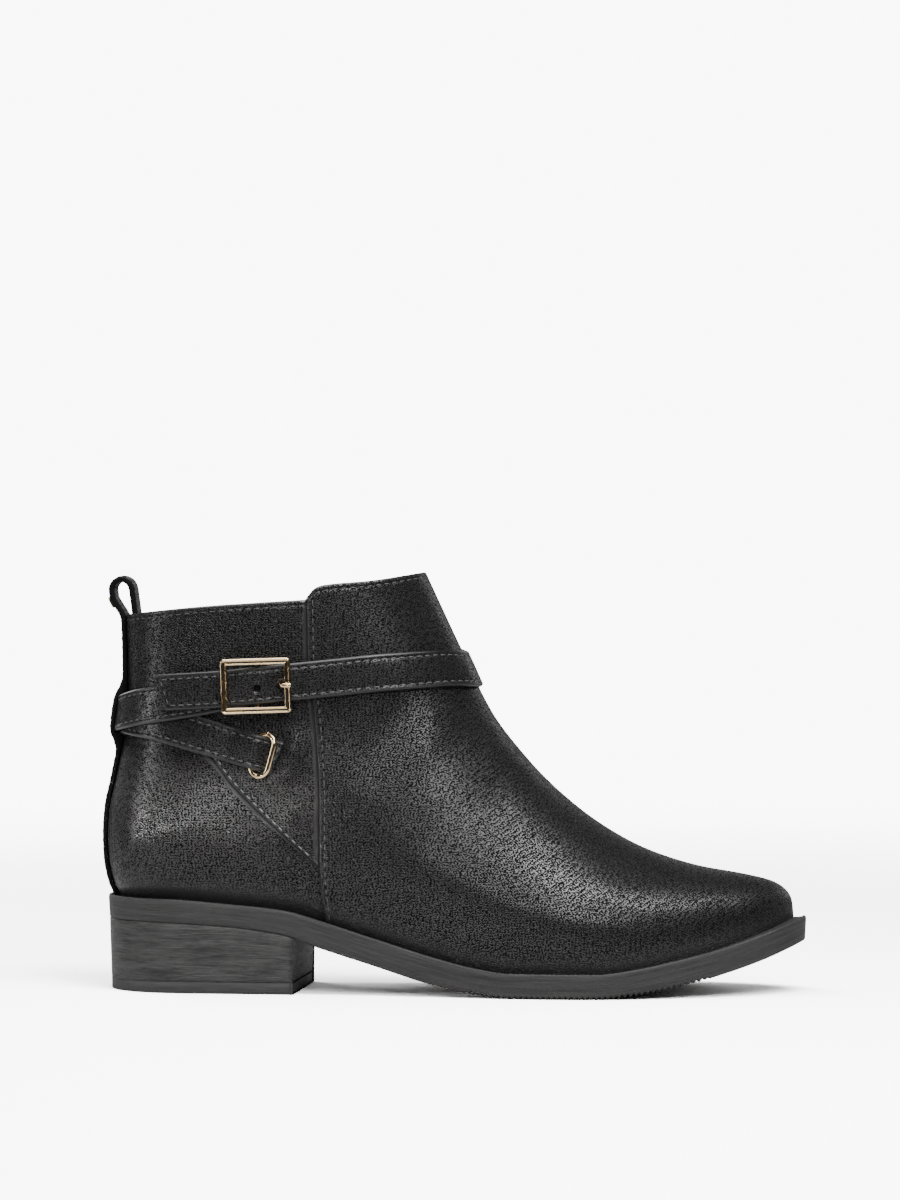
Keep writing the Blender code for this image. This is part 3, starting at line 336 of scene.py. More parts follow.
COLLAR_Z = (141.8, 144.9, 147.2, 154.6, 158.4)
NET_TURNS, NET_LEVELS, NET_LOW, NET_HIGH = 150, 70, -0.06, 1.09


def last_net():
    turn = 2 * np.pi * np.arange(NET_TURNS) / NET_TURNS
    t = np.linspace(NET_LOW, NET_HIGH, NET_LEVELS)
    turns, levels = np.meshgrid(turn, t, indexing="ij")
    inside = np.clip(levels, 0.0, 1.0)
    s = (1 - np.cos(turns)) / 2

    def last_point(level):
        back_x, front_x = read(PROFILE_T, BACK_X, level), read(PROFILE_T, FRONT_X, level)
        back_z, front_z = read(PROFILE_T, BACK_Z, level), read(PROFILE_T, FRONT_Z, level)
        run = front_x - back_x
        x = back_x + run * s
        spread = {}
        for side in (OUTER, INNER):
            columns = np.stack([read(WIDTH_T, column, level) for column in HALF_WIDTHS[side]])
            spread[side] = side * read(STATIONS, columns, x)
        y = np.where(turns <= np.pi, spread[OUTER], spread[INNER])
        y = y * end_round(s * run, read(PROFILE_T, BACK_ROUND, level))
        y = y * end_round((1 - s) * run, read(PROFILE_T, FRONT_ROUND, level))
        feather_x = BACK_X[0] + (FRONT_X[0] - BACK_X[0]) * s
        feather_line = BACK_Z[0] + (FRONT_Z[0] - BACK_Z[0]) * s
        collar_x = BACK_X[-1] + (FRONT_X[-1] - BACK_X[-1]) * s
        collar_line = BACK_Z[-1] + (FRONT_Z[-1] - BACK_Z[-1]) * s
        dip = (1 - level) ** 3 * (sole_top(feather_x) + 0.3 - feather_line)
        rise = level**4 * (read(COLLAR_X, COLLAR_Z, collar_x) - collar_line)
        z = back_z + (front_z - back_z) * s + dip + rise
        return np.stack((x, swing(x) + y, z), axis=-1)

    net, step = last_point(inside), 0.02
    for beyond, edge in ((np.maximum(levels - 1.0, 0.0), 1.0), (np.minimum(levels, 0.0), step)):
        slope = last_point(np.full_like(levels, edge)) - last_point(np.full_like(levels, edge - step))
        net = net + beyond[..., None] * slope / step
    return net


NET = last_net()


def surface(turn, t):
    """Place on the last, and its change with turn and with level."""
    turn, t = np.broadcast_arrays(np.asarray(turn, float), np.asarray(t, float))
    a = turn / (2 * np.pi) * NET_TURNS
    b = np.clip((t - NET_LOW) / (NET_HIGH - NET_LOW), 0.0, 1.0) * (NET_LEVELS - 1)
    i = np.floor(a).astype(int)
    k = np.clip(np.floor(b).astype(int), 1, NET_LEVELS - 3)

    def weights(f):
        value = ((1 - f) ** 3, 3 * f**3 - 6 * f**2 + 4, -3 * f**3 + 3 * f**2 + 3 * f + 1, f**3)
        change = (-3 * (1 - f) ** 2, 9 * f**2 - 12 * f, -9 * f**2 + 6 * f + 3, 3 * f**2)
        return [w[..., None] / 6 for w in value], [w[..., None] / 6 for w in change]

    value_a, change_a = weights(a - i)
    value_b, change_b = weights(b - k)
    place = along = up = 0.0
    for m in range(4):
        for n in range(4):
            knot = NET[(i + m - 1) % NET_TURNS, k + n - 1]
            place = place + knot * value_a[m] * value_b[n]
            along = along + knot * change_a[m] * value_b[n]
            up = up + knot * value_a[m] * change_b[n]
    return place, along * NET_TURNS / (2 * np.pi), up * (NET_LEVELS - 1) / (NET_HIGH - NET_LOW)


def outward(along, up):
    return unit(np.cross(along, up))


def halve(wanted, low, high, rounds=36):
    """Where a rising quantity passes nought, for each lane at once."""
    low, high = np.array(low, float), np.array(high, float)
    for _ in range(rounds):
        middle = (low + high) / 2
        short = wanted(middle) < 0
        low, high = np.where(short, middle, low), np.where(short, high, middle)
    return (low + high) / 2


# Upper: black leather with a fine pressed grain, in three panels. The heel counter lies lowest, the
# quarter laps over it along a slanting edge, and the vamp laps over both along the side seam.
VAMP_FACE, QUARTER_FACE, COUNTER_FACE, LINING_FACE = 0.0, -0.8, -1.8, -2.6
SEAM_Z = (20, 30, 45, 72, 90, 107, 125, 148, 165)
SEAM_X = (86.8, 86.1, 84.9, 84.8, 83.8, 82.2, 80.2, 79.8, 79.8)
EDGE_X = (0, 25, 38, 44, 50, 57, 84, 92)
EDGE_Z = (104.0, 101.0, 95.5, 89.0, 80.8, 73.4, 48.4, 40.8)
VAMP_TOP_X = (60, 78, 80, 82, 84, 87, 103, 121)
VAMP_TOP_Z = (146.6, 147.8, 149.6, 152.0, 153.3, 154.0, 155.5, 158.4)
QUARTER_TOP_X = (6, 33, 58, 78, 95)
QUARTER_TOP_Z = (141.8, 144.9, 146.9, 148.2, 149.4)
INNER_TOP_X = (6, 33, 58, 78, 90, 103, 121)
INNER_TOP_Z = (141.8, 144.2, 145.9, 147.4, 150.0, 153.6, 158.4)
ZIP_HALF, ZIP_FOOT = 4.6, 50.0
NEAR_EDGE = np.array((0.0, 0.05, 0.14, 0.28, 0.48, 0.75, 1.1, 1.5, 1.8, 2.0, 2.2, 2.4, 2.6, 3.0, 3.6))
STITCH_IN, FAR_OFF = 2.2, 99.0
GRAIN = (0.66, 0.58, 0.44)
LEVELS = np.linspace(NET_LOW + 0.01, NET_HIGH - 0.01, 240)
TURNS = np.linspace(-np.pi, 3 * np.pi, 1601)


def leather(name, colour, roughness, depth, grain=1.0, smooth=None, level=0.95):
    """Dyed leather with a fine pressed grain, its creases longer along the foot than they are high.

    The creases are dull, with their colour darkened partly as dye and partly as painted shade, and their
    reflection cut to a tenth as painted shade. Smooth gives the distances from an edge, kept in the UV map,
    between which the grain comes in: nearer, the leather is pressed flat at one level, from a dull cut edge
    at nought to a glossy painted or lasted one. Below nought the leather is painted dark and dull as painted
    shadow.
    """
    material, tree, bsdf = shader(name, colour, roughness)

    def vector(operation, *parts, output=0):
        return add(tree, "VectorMath", dict(enumerate(parts)), output, operation=operation)

    def ramp(value, low, high, least=0.0, most=1.0, kind="SMOOTHSTEP"):
        inputs = {0: value, 1: low, 2: high, 3: least, 4: most}
        return add(tree, "MapRange", inputs, interpolation_type=kind)

    place = add(tree, "TexCoord", {}, "Object")
    cells = vector("MULTIPLY", place, tuple(1 / (size * MM * grain) for size in GRAIN))
    loose = add(tree, "TexNoise", {"Vector": cells, "Scale": 1.0, "Detail": 0.0, "Distortion": 0.3})
    swirl = add(tree, "TexNoise", {"Vector": cells, "Scale": 0.4, "Detail": 0.0}, 1)
    waves = vector("MULTIPLY_ADD", swirl, (7.0, 7.0, 7.0), vector("MULTIPLY", cells, (3.3, 3.0, 2.9)))
    x, y, z = add(tree, "SeparateXYZ", {0: vector("COSINE", waves)}).node.outputs
    shifted = add(tree, "CombineXYZ", {0: y, 1: z, 2: x})
    even = vector("DOT_PRODUCT", vector("SINE", waves), shifted, output=1)
    even = ramp(even, -1.2, 1.2, 0.2, 0.8, "LINEAR")
    crest = ramp(add(tree, "Mix", {0: 0.6, 2: loose, 3: even}), 0.40, 0.56)
    if smooth:
        edge = add(tree, "SeparateXYZ", {0: add(tree, "TexCoord", {}, "UV")}, 1)
        crest = add(tree, "Mix", {0: ramp(edge, *smooth, 0.06), 2: level, 3: crest})
        # Painted shade: where the UV edge distance falls below nought, the grain is multiplied down to dark
        # and dull, as painted shadow beside a lapping panel and painted shade inside the strap holes.
        painted_shade = ramp(edge, -3.0, -0.2, 0.12, kind="LINEAR")
        crest = add(tree, "Math", {0: crest, 1: painted_shade}, operation="MULTIPLY")

    def between(dark, light):
        return add(tree, "Mix", {0: crest, 6: (*dark, 1.0), 7: (*light, 1.0)}, 2, data_type="RGBA")

    # Painted shade in the creases: their base colour drops to 0.4 of the leather's and their reflection to a
    # tenth through the specular tint.
    bsdf.inputs["Specular IOR Level"].default_value = 0.7
    feed(
        tree, bsdf, Base_Color=between([0.4 * c for c in colour], colour),
        Specular_Tint=between((0.1, 0.1, 0.1), (1.0, 1.0, 1.0)),
        Roughness=ramp(crest, 0.0, 1.0, min(roughness + 0.4, 1.0), roughness, "LINEAR"),
        Normal=add(tree, "Bump", {"Strength": 1.0, "Distance": depth, "Height": crest}),
    )
    return material


# The last of these is the width in millimetres of the painted shadow beside a lapping edge.
DRAWN, FOLDED, LAP_SHADOW = 15.0, 1.4, 2.2
upper_leather = leather("upper_leather", (0.0065, 0.0065, 0.007), 0.34, 0.0004, smooth=(2.0, DRAWN))


def seam_turn(side, beside):
    """Turn of a line that keeps its distance from the seam, as a table over the levels."""
    def past(turn):
        place = surface(turn if side == OUTER else 2 * np.pi - turn, LEVELS)[0]
        half = beside * (ease((place[:, 2] - ZIP_FOOT + 3.0) / 3.0) if side == INNER else 1.0)
        return place[:, 0] - read(SEAM_Z, SEAM_X, place[:, 2]) - half

    found = halve(past, np.full(len(LEVELS), 0.25), np.full(len(LEVELS), 2.6))
    return found if side == OUTER else 2 * np.pi - found


def edge_level(xs, zs):
    """Level of a line given by its height along the foot, as a table over the turns."""
    def above(t):
        place = surface(TURNS, t)[0]
        return place[:, 2] - read(xs, zs, place[:, 0])

    return halve(above, np.full(len(TURNS), NET_LOW + 0.02), np.full(len(TURNS), NET_HIGH - 0.01))


outer_half = np.sin(TURNS) > 0
inner_top = edge_level(INNER_TOP_X, INNER_TOP_Z)
vamp_top = np.where(outer_half, edge_level(VAMP_TOP_X, VAMP_TOP_Z), inner_top)
quarter_top = np.where(outer_half, edge_level(QUARTER_TOP_X, QUARTER_TOP_Z), inner_top)
counter_line = edge_level(EDGE_X, EDGE_Z)
feather_line = np.full(len(TURNS), -0.02)
outer_seam = seam_turn(OUTER, 0.0)
zip_front = seam_turn(INNER, ZIP_HALF)
zip_rear = seam_turn(INNER, -ZIP_HALF) - 2 * np.pi

# Soft hollows and swells that the lasting leaves in the leather: side, x, z, long and short half sizes,
# slope of the long axis in degrees, and height in millimetres.
Swell = namedtuple("Swell", "side x z long short slope height")
SWELLS = [
    Swell(OUTER, 74.5, 91.5, 8.0, 4.5, 75, 1.3),
    Swell(OUTER, 78.0, 64.5, 7.0, 4.0, 40, 1.1),
    Swell(OUTER, 76.0, 78.0, 7.0, 4.0, 20, -0.5),
    Swell(OUTER, 125.0, 96.0, 18.0, 7.0, 55, 0.5),
    Swell(INNER, 126.0, 92.0, 18.0, 7.0, 50, 0.5),
    Swell(INNER, 60.0, 80.0, 12.0, 5.0, 70, 0.4),
]
for side in (OUTER, INNER):
    SWELLS += [
        Swell(side, 34.0, 60.0, 26.0, 17.0, 0, 1.0),
        Swell(side, 112.0, 104.0, 16.0, 6.0, 60, -0.5),
        Swell(side, 138.0, 66.0, 22.0, 8.0, 35, -0.4),
    ]


def relief(place, turn):
    """Height of the swells at places on the last."""
    total = np.zeros(place.shape[:-1])
    side = np.where(np.sin(turn) >= 0, OUTER, INNER)
    for swell in SWELLS:
        dx, dz = place[..., 0] - swell.x, place[..., 2] - swell.z
        lean = math.radians(swell.slope)
        a = (dx * math.cos(lean) + dz * math.sin(lean)) / swell.long
        b = (dz * math.cos(lean) - dx * math.sin(lean)) / swell.short
        total += np.where(side == swell.side, swell.height * np.exp(-(a * a + b * b)), 0.0)
    return total


def fold(distance, radius):
    """Drop of a turned and sewn edge at a distance from it."""
    near = np.minimum(distance, radius)
    drop = np.sqrt(np.maximum(radius**2 - (radius - near) ** 2, 0.0)) - radius
    drop = drop - 0.14 * np.exp(-(((distance - STITCH_IN) / 0.42) ** 2))
    return drop + 0.07 * np.exp(-(((distance - 1.2) / 0.6) ** 2))


def stretch(turn_table):
    """Millimetres per turn along an edge, over the levels."""
    return norm(surface(turn_table, LEVELS)[1])


def panel_grid(left, right, low, high, columns, rows):
    """Turn, level and distances from the four edges for a panel's grid, crowded along its edges."""
    left_scale, right_scale = stretch(left), stretch(right)
    near, far = NEAR_EDGE, NEAR_EDGE[-1]
    middle = np.linspace(0, 1, columns + 2)[1:-1]
    kind = np.concatenate((np.zeros(len(near)), np.ones(columns), np.full(len(near), 2)))
    value = np.concatenate((near, middle, near[::-1]))

    def turn_at(t):
        start, end = np.interp(t, LEVELS, left), np.interp(t, LEVELS, right)
        start_scale, end_scale = np.interp(t, LEVELS, left_scale), np.interp(t, LEVELS, right_scale)
        first, last = start + far / start_scale, end - far / end_scale
        inside = first + (last - first) * value
        before, after = start + value / start_scale, end - value / end_scale
        return np.where(kind == 0, before, np.where(kind == 1, inside, after))

    def edge_at(table):
        least, most = np.full(len(kind), LEVELS[0]), np.full(len(kind), LEVELS[-1])
        return halve(lambda t: t - np.interp(turn_at(t), TURNS, table), least, most)

    t_low, t_high = edge_at(low), edge_at(high)
    low_scale = norm(surface(turn_at(t_low), t_low)[2])
    high_scale = norm(surface(turn_at(t_high), t_high)[2])
    start, end = t_low + far / low_scale, t_high - far / high_scale
    share = np.linspace(0, 1, rows + 2)[1:-1]
    t = np.concatenate((
        t_low + near[:, None] / low_scale,
        start + (end - start) * share[:, None],
        t_high - near[::-1][:, None] / high_scale,
    ))
    from_left, from_right, from_low, from_high = np.full((4, *t.shape), FAR_OFF)
    from_left[:, : len(near)] = near
    from_right[:, -len(near):] = near[::-1]
    from_low[: len(near)] = near[:, None]
    from_high[-len(near):] = near[::-1][:, None]
    return turn_at(t), t, {"left": from_left, "right": from_right, "low": from_low, "high": from_high}


def panel(name, grid, face, folds, first_rise=0.0, cover=None):
    """A sheet of leather on the last; each named edge is folded down by its own radius.

    Cover gives the distance from the edge of the panel that laps over this one; close to that edge the
    leather is painted dark and dull as a painted shadow of the lap.
    """
    turn, t, distance = grid
    place, along, up = surface(turn, t)
    depth = np.full(t.shape, face)
    depth += np.minimum.reduce([fold(distance[edge], radius) for edge, radius in folds.items()])
    depth += relief(place, turn)
    rise = np.cumsum(norm(np.diff(place, axis=0, prepend=place[:1])), axis=0) + first_rise
    folded = np.minimum.reduce([distance[edge] for edge in folds])
    edge = np.minimum(rise, folded * DRAWN / FOLDED)
    if cover:
        away = cover(turn, t, along, up)
        # Painted shadow of the lapping edge: close to it the UV edge value goes below nought, which darkens
        # the leather.
        edge = np.minimum(edge, np.interp(away, (0.0, LAP_SHADOW, LAP_SHADOW + 1.0), (-3.0, -0.2, DRAWN)))
    uv = np.stack((place[..., 0], edge), axis=-1)
    dress(lay(name, place + outward(along, up) * depth[..., None], uv), upper_leather, ["upper"])


LAP = 7.0
under_vamp = outer_seam + LAP / stretch(outer_seam)
counter_under = counter_line + 0.06
vamp_grid = panel_grid(outer_seam, zip_front, feather_line, vamp_top, 300, 130)
quarter_grid = panel_grid(zip_rear, under_vamp, counter_line, quarter_top, 230, 84)
counter_grid = panel_grid(zip_rear, under_vamp, feather_line, counter_under, 190, 80)


def beside_vamp(turn, t, along, up):
    return 1.6 * (np.interp(t, LEVELS, outer_seam) - turn) * norm(along)


def below_quarter(turn, t, along, up):
    return 0.72 * (np.interp(turn, TURNS, counter_line) - t) * norm(up)


panel("vamp", vamp_grid, VAMP_FACE, {"left": 1.0, "right": 1.2, "high": 1.0})
panel("quarter", quarter_grid, QUARTER_FACE, {"left": 1.2, "low": 0.9, "high": 1.0}, 40.0, beside_vamp)
panel("heel_counter", counter_grid, COUNTER_FACE, {"left": 1.0}, 0.0, below_quarter)

# Lining and collar edge: a soft grey lining glued inside the panels, and the folded top edge between
# the lining and the leather all round the collar.
lining_cloth = leather("lining_cloth", (0.26, 0.25, 0.24), 0.8, 0.00006, 0.8)
LINING_ROWS, RIM_ROWS = 62, 8
around = np.linspace(0, 2 * np.pi, 281)
lining_turn = np.broadcast_to(around, (LINING_ROWS + RIM_ROWS, len(around)))
rear = (around < np.interp(0.95, LEVELS, outer_seam)) | (around > np.pi)
all_top = np.where(rear, np.interp(around, TURNS, quarter_top), np.interp(around, TURNS, vamp_top))
share = np.linspace(0, 1, LINING_ROWS)[:, None]
rim_t = np.broadcast_to(all_top, (RIM_ROWS, len(around)))
lining_t = np.concatenate((-0.02 + (all_top + 0.02) * share, rim_t))
place, along, up = surface(lining_turn, lining_t)
rim_face = np.where(rear, QUARTER_FACE, VAMP_FACE)
rim_half = (rim_face - LINING_FACE) / 2 - 0.1
bend = np.linspace(0, np.pi, RIM_ROWS)[:, None]
lining_depth = np.full(lining_t.shape, LINING_FACE)
lining_depth[-RIM_ROWS:] = (rim_face + LINING_FACE) / 2 - rim_half * np.cos(bend)
rise = np.concatenate((-0.75 * share**8 + 0 * around, 0.55 * np.sin(bend) - 0.75 + 0 * around))
points = place + outward(along, up) * lining_depth[..., None] + unit(up) * rise[..., None]
lining = lay("lining", points[:, ::-1], round_u=True)
dress(lining, lining_cloth, ["upper"])

# Insole: a thin board under brown-grey cloth. It is laid in from above, inside the lining, and closes the
# boot towards the sole.
insole_x = 6.2 + 250.6 * (1 - np.cos(np.pi * np.arange(81) / 80)) / 2
insole_s = (insole_x - insole_x[0]) / (insole_x[-1] - insole_x[0])
edges = {}
for side in (OUTER, INNER):
    turn = np.arccos(1 - 2 * insole_s)
    turn = turn if side == OUTER else 2 * np.pi - turn
    place, along, up = surface(turn, 0.0)
    edges[side] = place[:, 1] + outward(along, up)[:, 1] * (LINING_FACE - 0.8)
rows = []
insole_rim = ((-2.6, 0.0), (-0.6, 0.0), (-0.15, 0.2), (0.0, 0.7))
back_round = end_round(insole_x - insole_x[0], 4.0)
for drop, inset in insole_rim:
    rows.append((edges[OUTER] + inset * back_round, drop))
for share in np.linspace(0.05, 0.95, 15):
    rows.append((edges[OUTER] + (edges[INNER] - edges[OUTER]) * share, 0.5 * math.sin(share * math.pi)))
for drop, inset in insole_rim[::-1]:
    rows.append((edges[INNER] - inset * back_round, drop))
points = np.stack([np.stack((insole_x, y, sole_top(insole_x) + 2.9 + drop), axis=1) for y, drop in rows])
insole = lay("insole_cloth", points)
insole_weave = leather("insole_weave", (0.06, 0.055, 0.05), 0.85, 0.00005, 0.6)
dress(insole, insole_weave, ["insole"])

# Stitching: one dark thread, a little glossy, in short even stitches that sink into the leather at both ends.
# Its colour is painted paler on the straps and palest along the slanted edge, as painted highlight. It holds
# the laps of the upper, its collar and the edges of the straps.
seam_thread = shader("seam_thread", (0.06, 0.06, 0.06), 0.45)[0]
strap_highlight_thread = shader("strap_highlight_thread", (0.085, 0.085, 0.085), 0.4)[0]
highlight_thread = shader("highlight_thread", (0.16, 0.16, 0.16), 0.4)[0]


def sewn(name, lines, node, thread, pitch=3.4, length=2.5, width=0.5):
    """One object of stitches along lines of (places, outward faces)."""
    bm = bmesh.new()
    bmesh.ops.create_uvsphere(bm, u_segments=8, v_segments=6, radius=0.5)
    bm.verts.index_update()
    shape = np.array([v.co for v in bm.verts])[:, [2, 1, 0]] * np.array((-length, width, 0.42))
    sides = [[v.index for v in f.verts] for f in bm.faces]
    bm.free()
    shape[:, 2] -= 0.5 * (shape[:, 0] / (length / 2)) ** 2 * 0.5
    places, faces = [], []
    for line, out in lines:
        run = walked(line)

        def along_run(d, values):
            return np.array([np.interp(d, run, values[:, k]) for k in range(3)])

        for d in np.arange(pitch / 2, run[-1], pitch):
            middle, up = along_run(d, line), unit(along_run(d, out))
            ahead = unit(along_run(d + 0.6, line) - along_run(d - 0.6, line))
            aside = unit(np.cross(up, ahead))
            up = np.cross(ahead, aside)
            first = len(places) * len(shape)
            places.append(middle + shape[:, :1] * ahead + shape[:, 1:2] * aside + (shape[:, 2:] + 0.07) * up)
            faces += [[first + i for i in f] for f in sides]
    mesh = bpy.data.meshes.new(name)
    mesh.from_pydata(((np.concatenate(places) - HEEL_POINT) * MM).tolist(), [], faces)
    mesh.shade_smooth()
    made = bpy.data.objects.new(name, mesh)
    bpy.context.scene.collection.objects.link(made)
    dress(made, thread, [node])


def edge_stitch(grid, edge, face, keep, inset=STITCH_IN):
    """The stitch line of a panel's edge, from its grid; keep limits it to a range of places."""
    turn, t = grid[:2]
    near = int(np.argmin(np.abs(NEAR_EDGE - inset)))
    far, every = -1 - near, slice(None)
    line = {"left": (every, near), "right": (every, far), "low": (near, every), "high": (far, every)}[edge]
    turn, t = turn[line], t[line]
    place, along, up = surface(turn, t)
    out = outward(along, up)
    line = place + out * (face - 0.1 + relief(place, turn))[:, None]
    chosen = keep(place, turn)
    return line[chosen], out[chosen]


seams = [
    edge_stitch(vamp_grid, "left", VAMP_FACE, lambda p, turn: (p[:, 2] > 24) & (p[:, 2] < 150)),
    edge_stitch(vamp_grid, "high", VAMP_FACE, lambda p, turn: p[:, 0] > 80),
    edge_stitch(vamp_grid, "right", VAMP_FACE, lambda p, turn: p[:, 2] > 47),
    edge_stitch(quarter_grid, "high", QUARTER_FACE, lambda p, turn: p[:, 0] < 79),
    edge_stitch(quarter_grid, "left", QUARTER_FACE, lambda p, turn: p[:, 2] > 50),
]
sewn("upper_stitching", seams, "upper", seam_thread)
slanted = [
    edge_stitch(quarter_grid, "low", QUARTER_FACE, lambda p, turn: (p[:, 0] < 83) & (turn > 0), 1.5),
    edge_stitch(quarter_grid, "low", QUARTER_FACE, lambda p, turn: (p[:, 0] < 79) & (turn < 0), 1.5),
]
sewn("quarter_stitching", slanted, "upper", highlight_thread, length=2.9)

# Straps: folded leather straps with painted edges and a stitch line along both sides. The front strap
# comes round the instep into the buckle, the rear strap carries the buckle, the lower one the ring.
GAP, STRAP_WIDTH, LOWER_WIDTH, STRAP_THICKNESS = 0.3, 14.2, 13.4, 1.7
LAYER = STRAP_THICKNESS + GAP
ON_COUNTER, ON_QUARTER, ON_VAMP = COUNTER_FACE + GAP, QUARTER_FACE + GAP, VAMP_FACE + GAP
OVER_ONE, OVER_TWO = ON_QUARTER + LAYER, ON_QUARTER + 2 * LAYER
ZIP_EDGE = ZIP_HALF + 0.4
STRAPS_AT_BACK_Z = 103.8
BUCKLE_X, BUCKLE_Z = 61.5, 116.2
RING_X, RING_Z = 63.4, 89.7
RING_LENGTH, RING_HEIGHT, RING_WIRE = 9.0, 18.2, 1.05
ring_bar = RING_LENGTH / 2 - RING_WIRE
ring_low = ON_QUARTER + RING_WIRE
ring_high = ON_QUARTER + LAYER + RING_WIRE + 0.2
SLANT_RUN = 20.0
FRONT, BACK = "front", "back"
Stop = namedtuple("Stop", "side x z depth")
strap_leather = leather("strap_leather", (0.006, 0.006, 0.0065), 0.30, 0.00011, smooth=(0.7, 1.4))
cut_leather = leather("cut_leather", (0.009, 0.009, 0.0095), 0.30, 0.00012, smooth=(0.3, 0.9), level=0.0)


def seam_x(z):
    return float(read(SEAM_Z, SEAM_X, z))


def place_at(x, z, side):
    """Turn and level of a place seen from the side, or of a height on the front or back line."""
    if side in (FRONT, BACK):
        turn = np.array(np.pi if side == FRONT else 0.0)
    else:
        turn = np.array(1.2)
    for _ in range(40):
        level = halve(lambda t: surface(turn, t)[0][..., 2] - z, np.array(-0.03), np.array(1.06))
        if side in (FRONT, BACK):
            break
        way = (lambda a: a) if side == OUTER else (lambda a: 2 * np.pi - a)
        found = halve(lambda a: surface(way(a), level)[0][..., 0] - x, np.array(0.02), np.array(3.1))
        if abs(way(found) - turn) < 1e-6:
            break
        turn = way(found)
    return float(turn), float(level)


def strap_section(width, thickness):
    """A strap's outline, from the middle of its face round its back to there again."""
    a, c = width / 2, 0.62
    half = [(0.0, thickness + 0.05), (a * 0.3, thickness + 0.04), (a - 3.0, thickness + 0.02)]
    half += [(a - 2.5, thickness - 0.02), (a - 2.2, thickness - 0.11), (a - 2.0, thickness - 0.14)]
    half += [(a - 1.8, thickness - 0.11), (a - 1.5, thickness - 0.01), (a - 1.0, thickness + 0.02)]
    half += [(a - c - 0.08, thickness), (a - c + 0.02, thickness - 0.03), (a - 0.03, thickness + 0.02 - c)]
    half += [(a, thickness - c - 0.08), (a, 0.25), (a - 0.12, 0.07), (a - 0.35, 0.0), (a * 0.5, 0.0)]
    half += [(0.0, 0.0)]
    return half + [(-w, h) for w, h in half[-2::-1]]


def section_uv(section, width, run):
    """Run along a strap and distance from its edges, for each point of its section."""
    from_edge = np.array([width / 2 - abs(w) for w, h in section])
    return np.stack(np.broadcast_arrays(np.asarray(run)[:, None], from_edge[None]), axis=-1)


def strap(
    name, node, stops, width, thickness=STRAP_THICKNESS, slant=0.0, count=300, material=strap_leather,
    under=None, cross=None,
):
    """A strap along its stops on the last, and the lines of its stitching.

    Cross is the distance of a crosswise line of stitches from the strap's first end. Under gives the depth
    of its back by height, where that keeps closer to the boot than its face does.
    """
    turns, levels = [], []
    for stop in stops:
        turn, t = place_at(stop.x, stop.z, stop.side)
        if turns and turn - turns[-1] > math.pi:
            turn -= 2 * math.pi
        turns.append(turn)
        levels.append(t)
    marks = surface(np.array(turns), np.array(levels))[0]
    run = walked(marks)
    fine = np.linspace(0, run[-1], 600)
    blur = np.exp(-0.5 * (np.arange(-12, 13) / 5.0) ** 2)
    blur /= blur.sum()

    def softened(values):
        rough = read(run, values, fine)
        padded = np.concatenate((2 * rough[0] - rough[12:0:-1], rough, 2 * rough[-1] - rough[-2:-14:-1]))
        return np.convolve(padded, blur, "valid")

    turn_line, level_line = softened(turns), softened(levels)
    depth_line = softened([stop.depth for stop in stops])
    section = strap_section(width, thickness)
    inset = np.array((0.5, 0.22, 0.06, 0.0))
    ends = np.array((0.0, 0.1, 0.3, 0.55))
    middle = np.linspace(slant + 1.2, run[-1] - 1.2, count)
    here = np.concatenate((slant + ends, middle, run[-1] - ends[::-1]))
    shrink = np.concatenate((inset, np.zeros(count), inset[::-1]))

    def carried(w, h):
        d = np.clip(here - slant * (1 - ease((here - slant) / SLANT_RUN)) * 2 * w / width, 0, run[-1])
        turn, t = np.interp(d, fine, turn_line), np.interp(d, fine, level_line)
        depth = np.interp(d, fine, depth_line)
        place, along, up = surface(turn, t)
        ahead, behind = np.minimum(d + 0.8, run[-1]), np.maximum(d - 0.8, 0)
        travel = 0.0
        for way, line in ((along, turn_line), (up, level_line)):
            travel = travel + way * (np.interp(ahead, fine, line) - np.interp(behind, fine, line))[:, None]
        across = unit(np.cross(np.cross(along, up), travel))
        uu, vv, mixed = (along * along).sum(-1), (up * up).sum(-1), (along * up).sum(-1)
        au, av = (across * along).sum(-1), (across * up).sum(-1)
        spread = uu * vv - mixed**2
        pull = w * (1 - shrink * 2 / width)
        turn = turn + pull * (au * vv - av * mixed) / spread
        t = t + pull * (av * uu - au * mixed) / spread
        place, along, up = surface(turn, t)
        out = outward(along, up)
        lift = thickness / 2 + (h - thickness / 2) * (1 - shrink * 1.4 / thickness)
        if under:
            floor = np.minimum(np.interp(place[:, 2], *under), depth)
            depth = depth + (floor - depth) * np.clip(1 - h / (thickness * 0.6), 0.0, 1.0)
        return place + out * (depth + lift)[:, None], out

    points = np.stack([carried(w, h)[0] for w, h in section], axis=1)
    made = lay(name, points, section_uv(section, width, here), round_u=True, caps=True)
    dress(made, material, [node])
    lines = []
    reach = np.argmin(np.abs(here - slant - cross)) if cross else 0
    for sign in (-1, 1):
        line, out = carried(sign * (width / 2 - 2.0), thickness - 0.12)
        lines.append((line[reach:], out[reach:]))
    if cross:
        crossing = [carried(w, thickness - 0.06) for w in np.linspace(2.0 - width / 2, width / 2 - 2.0, 12)]
        lines.append(tuple(np.array([part[i][reach] for part in crossing]) for i in range(2)))
    return made, lines


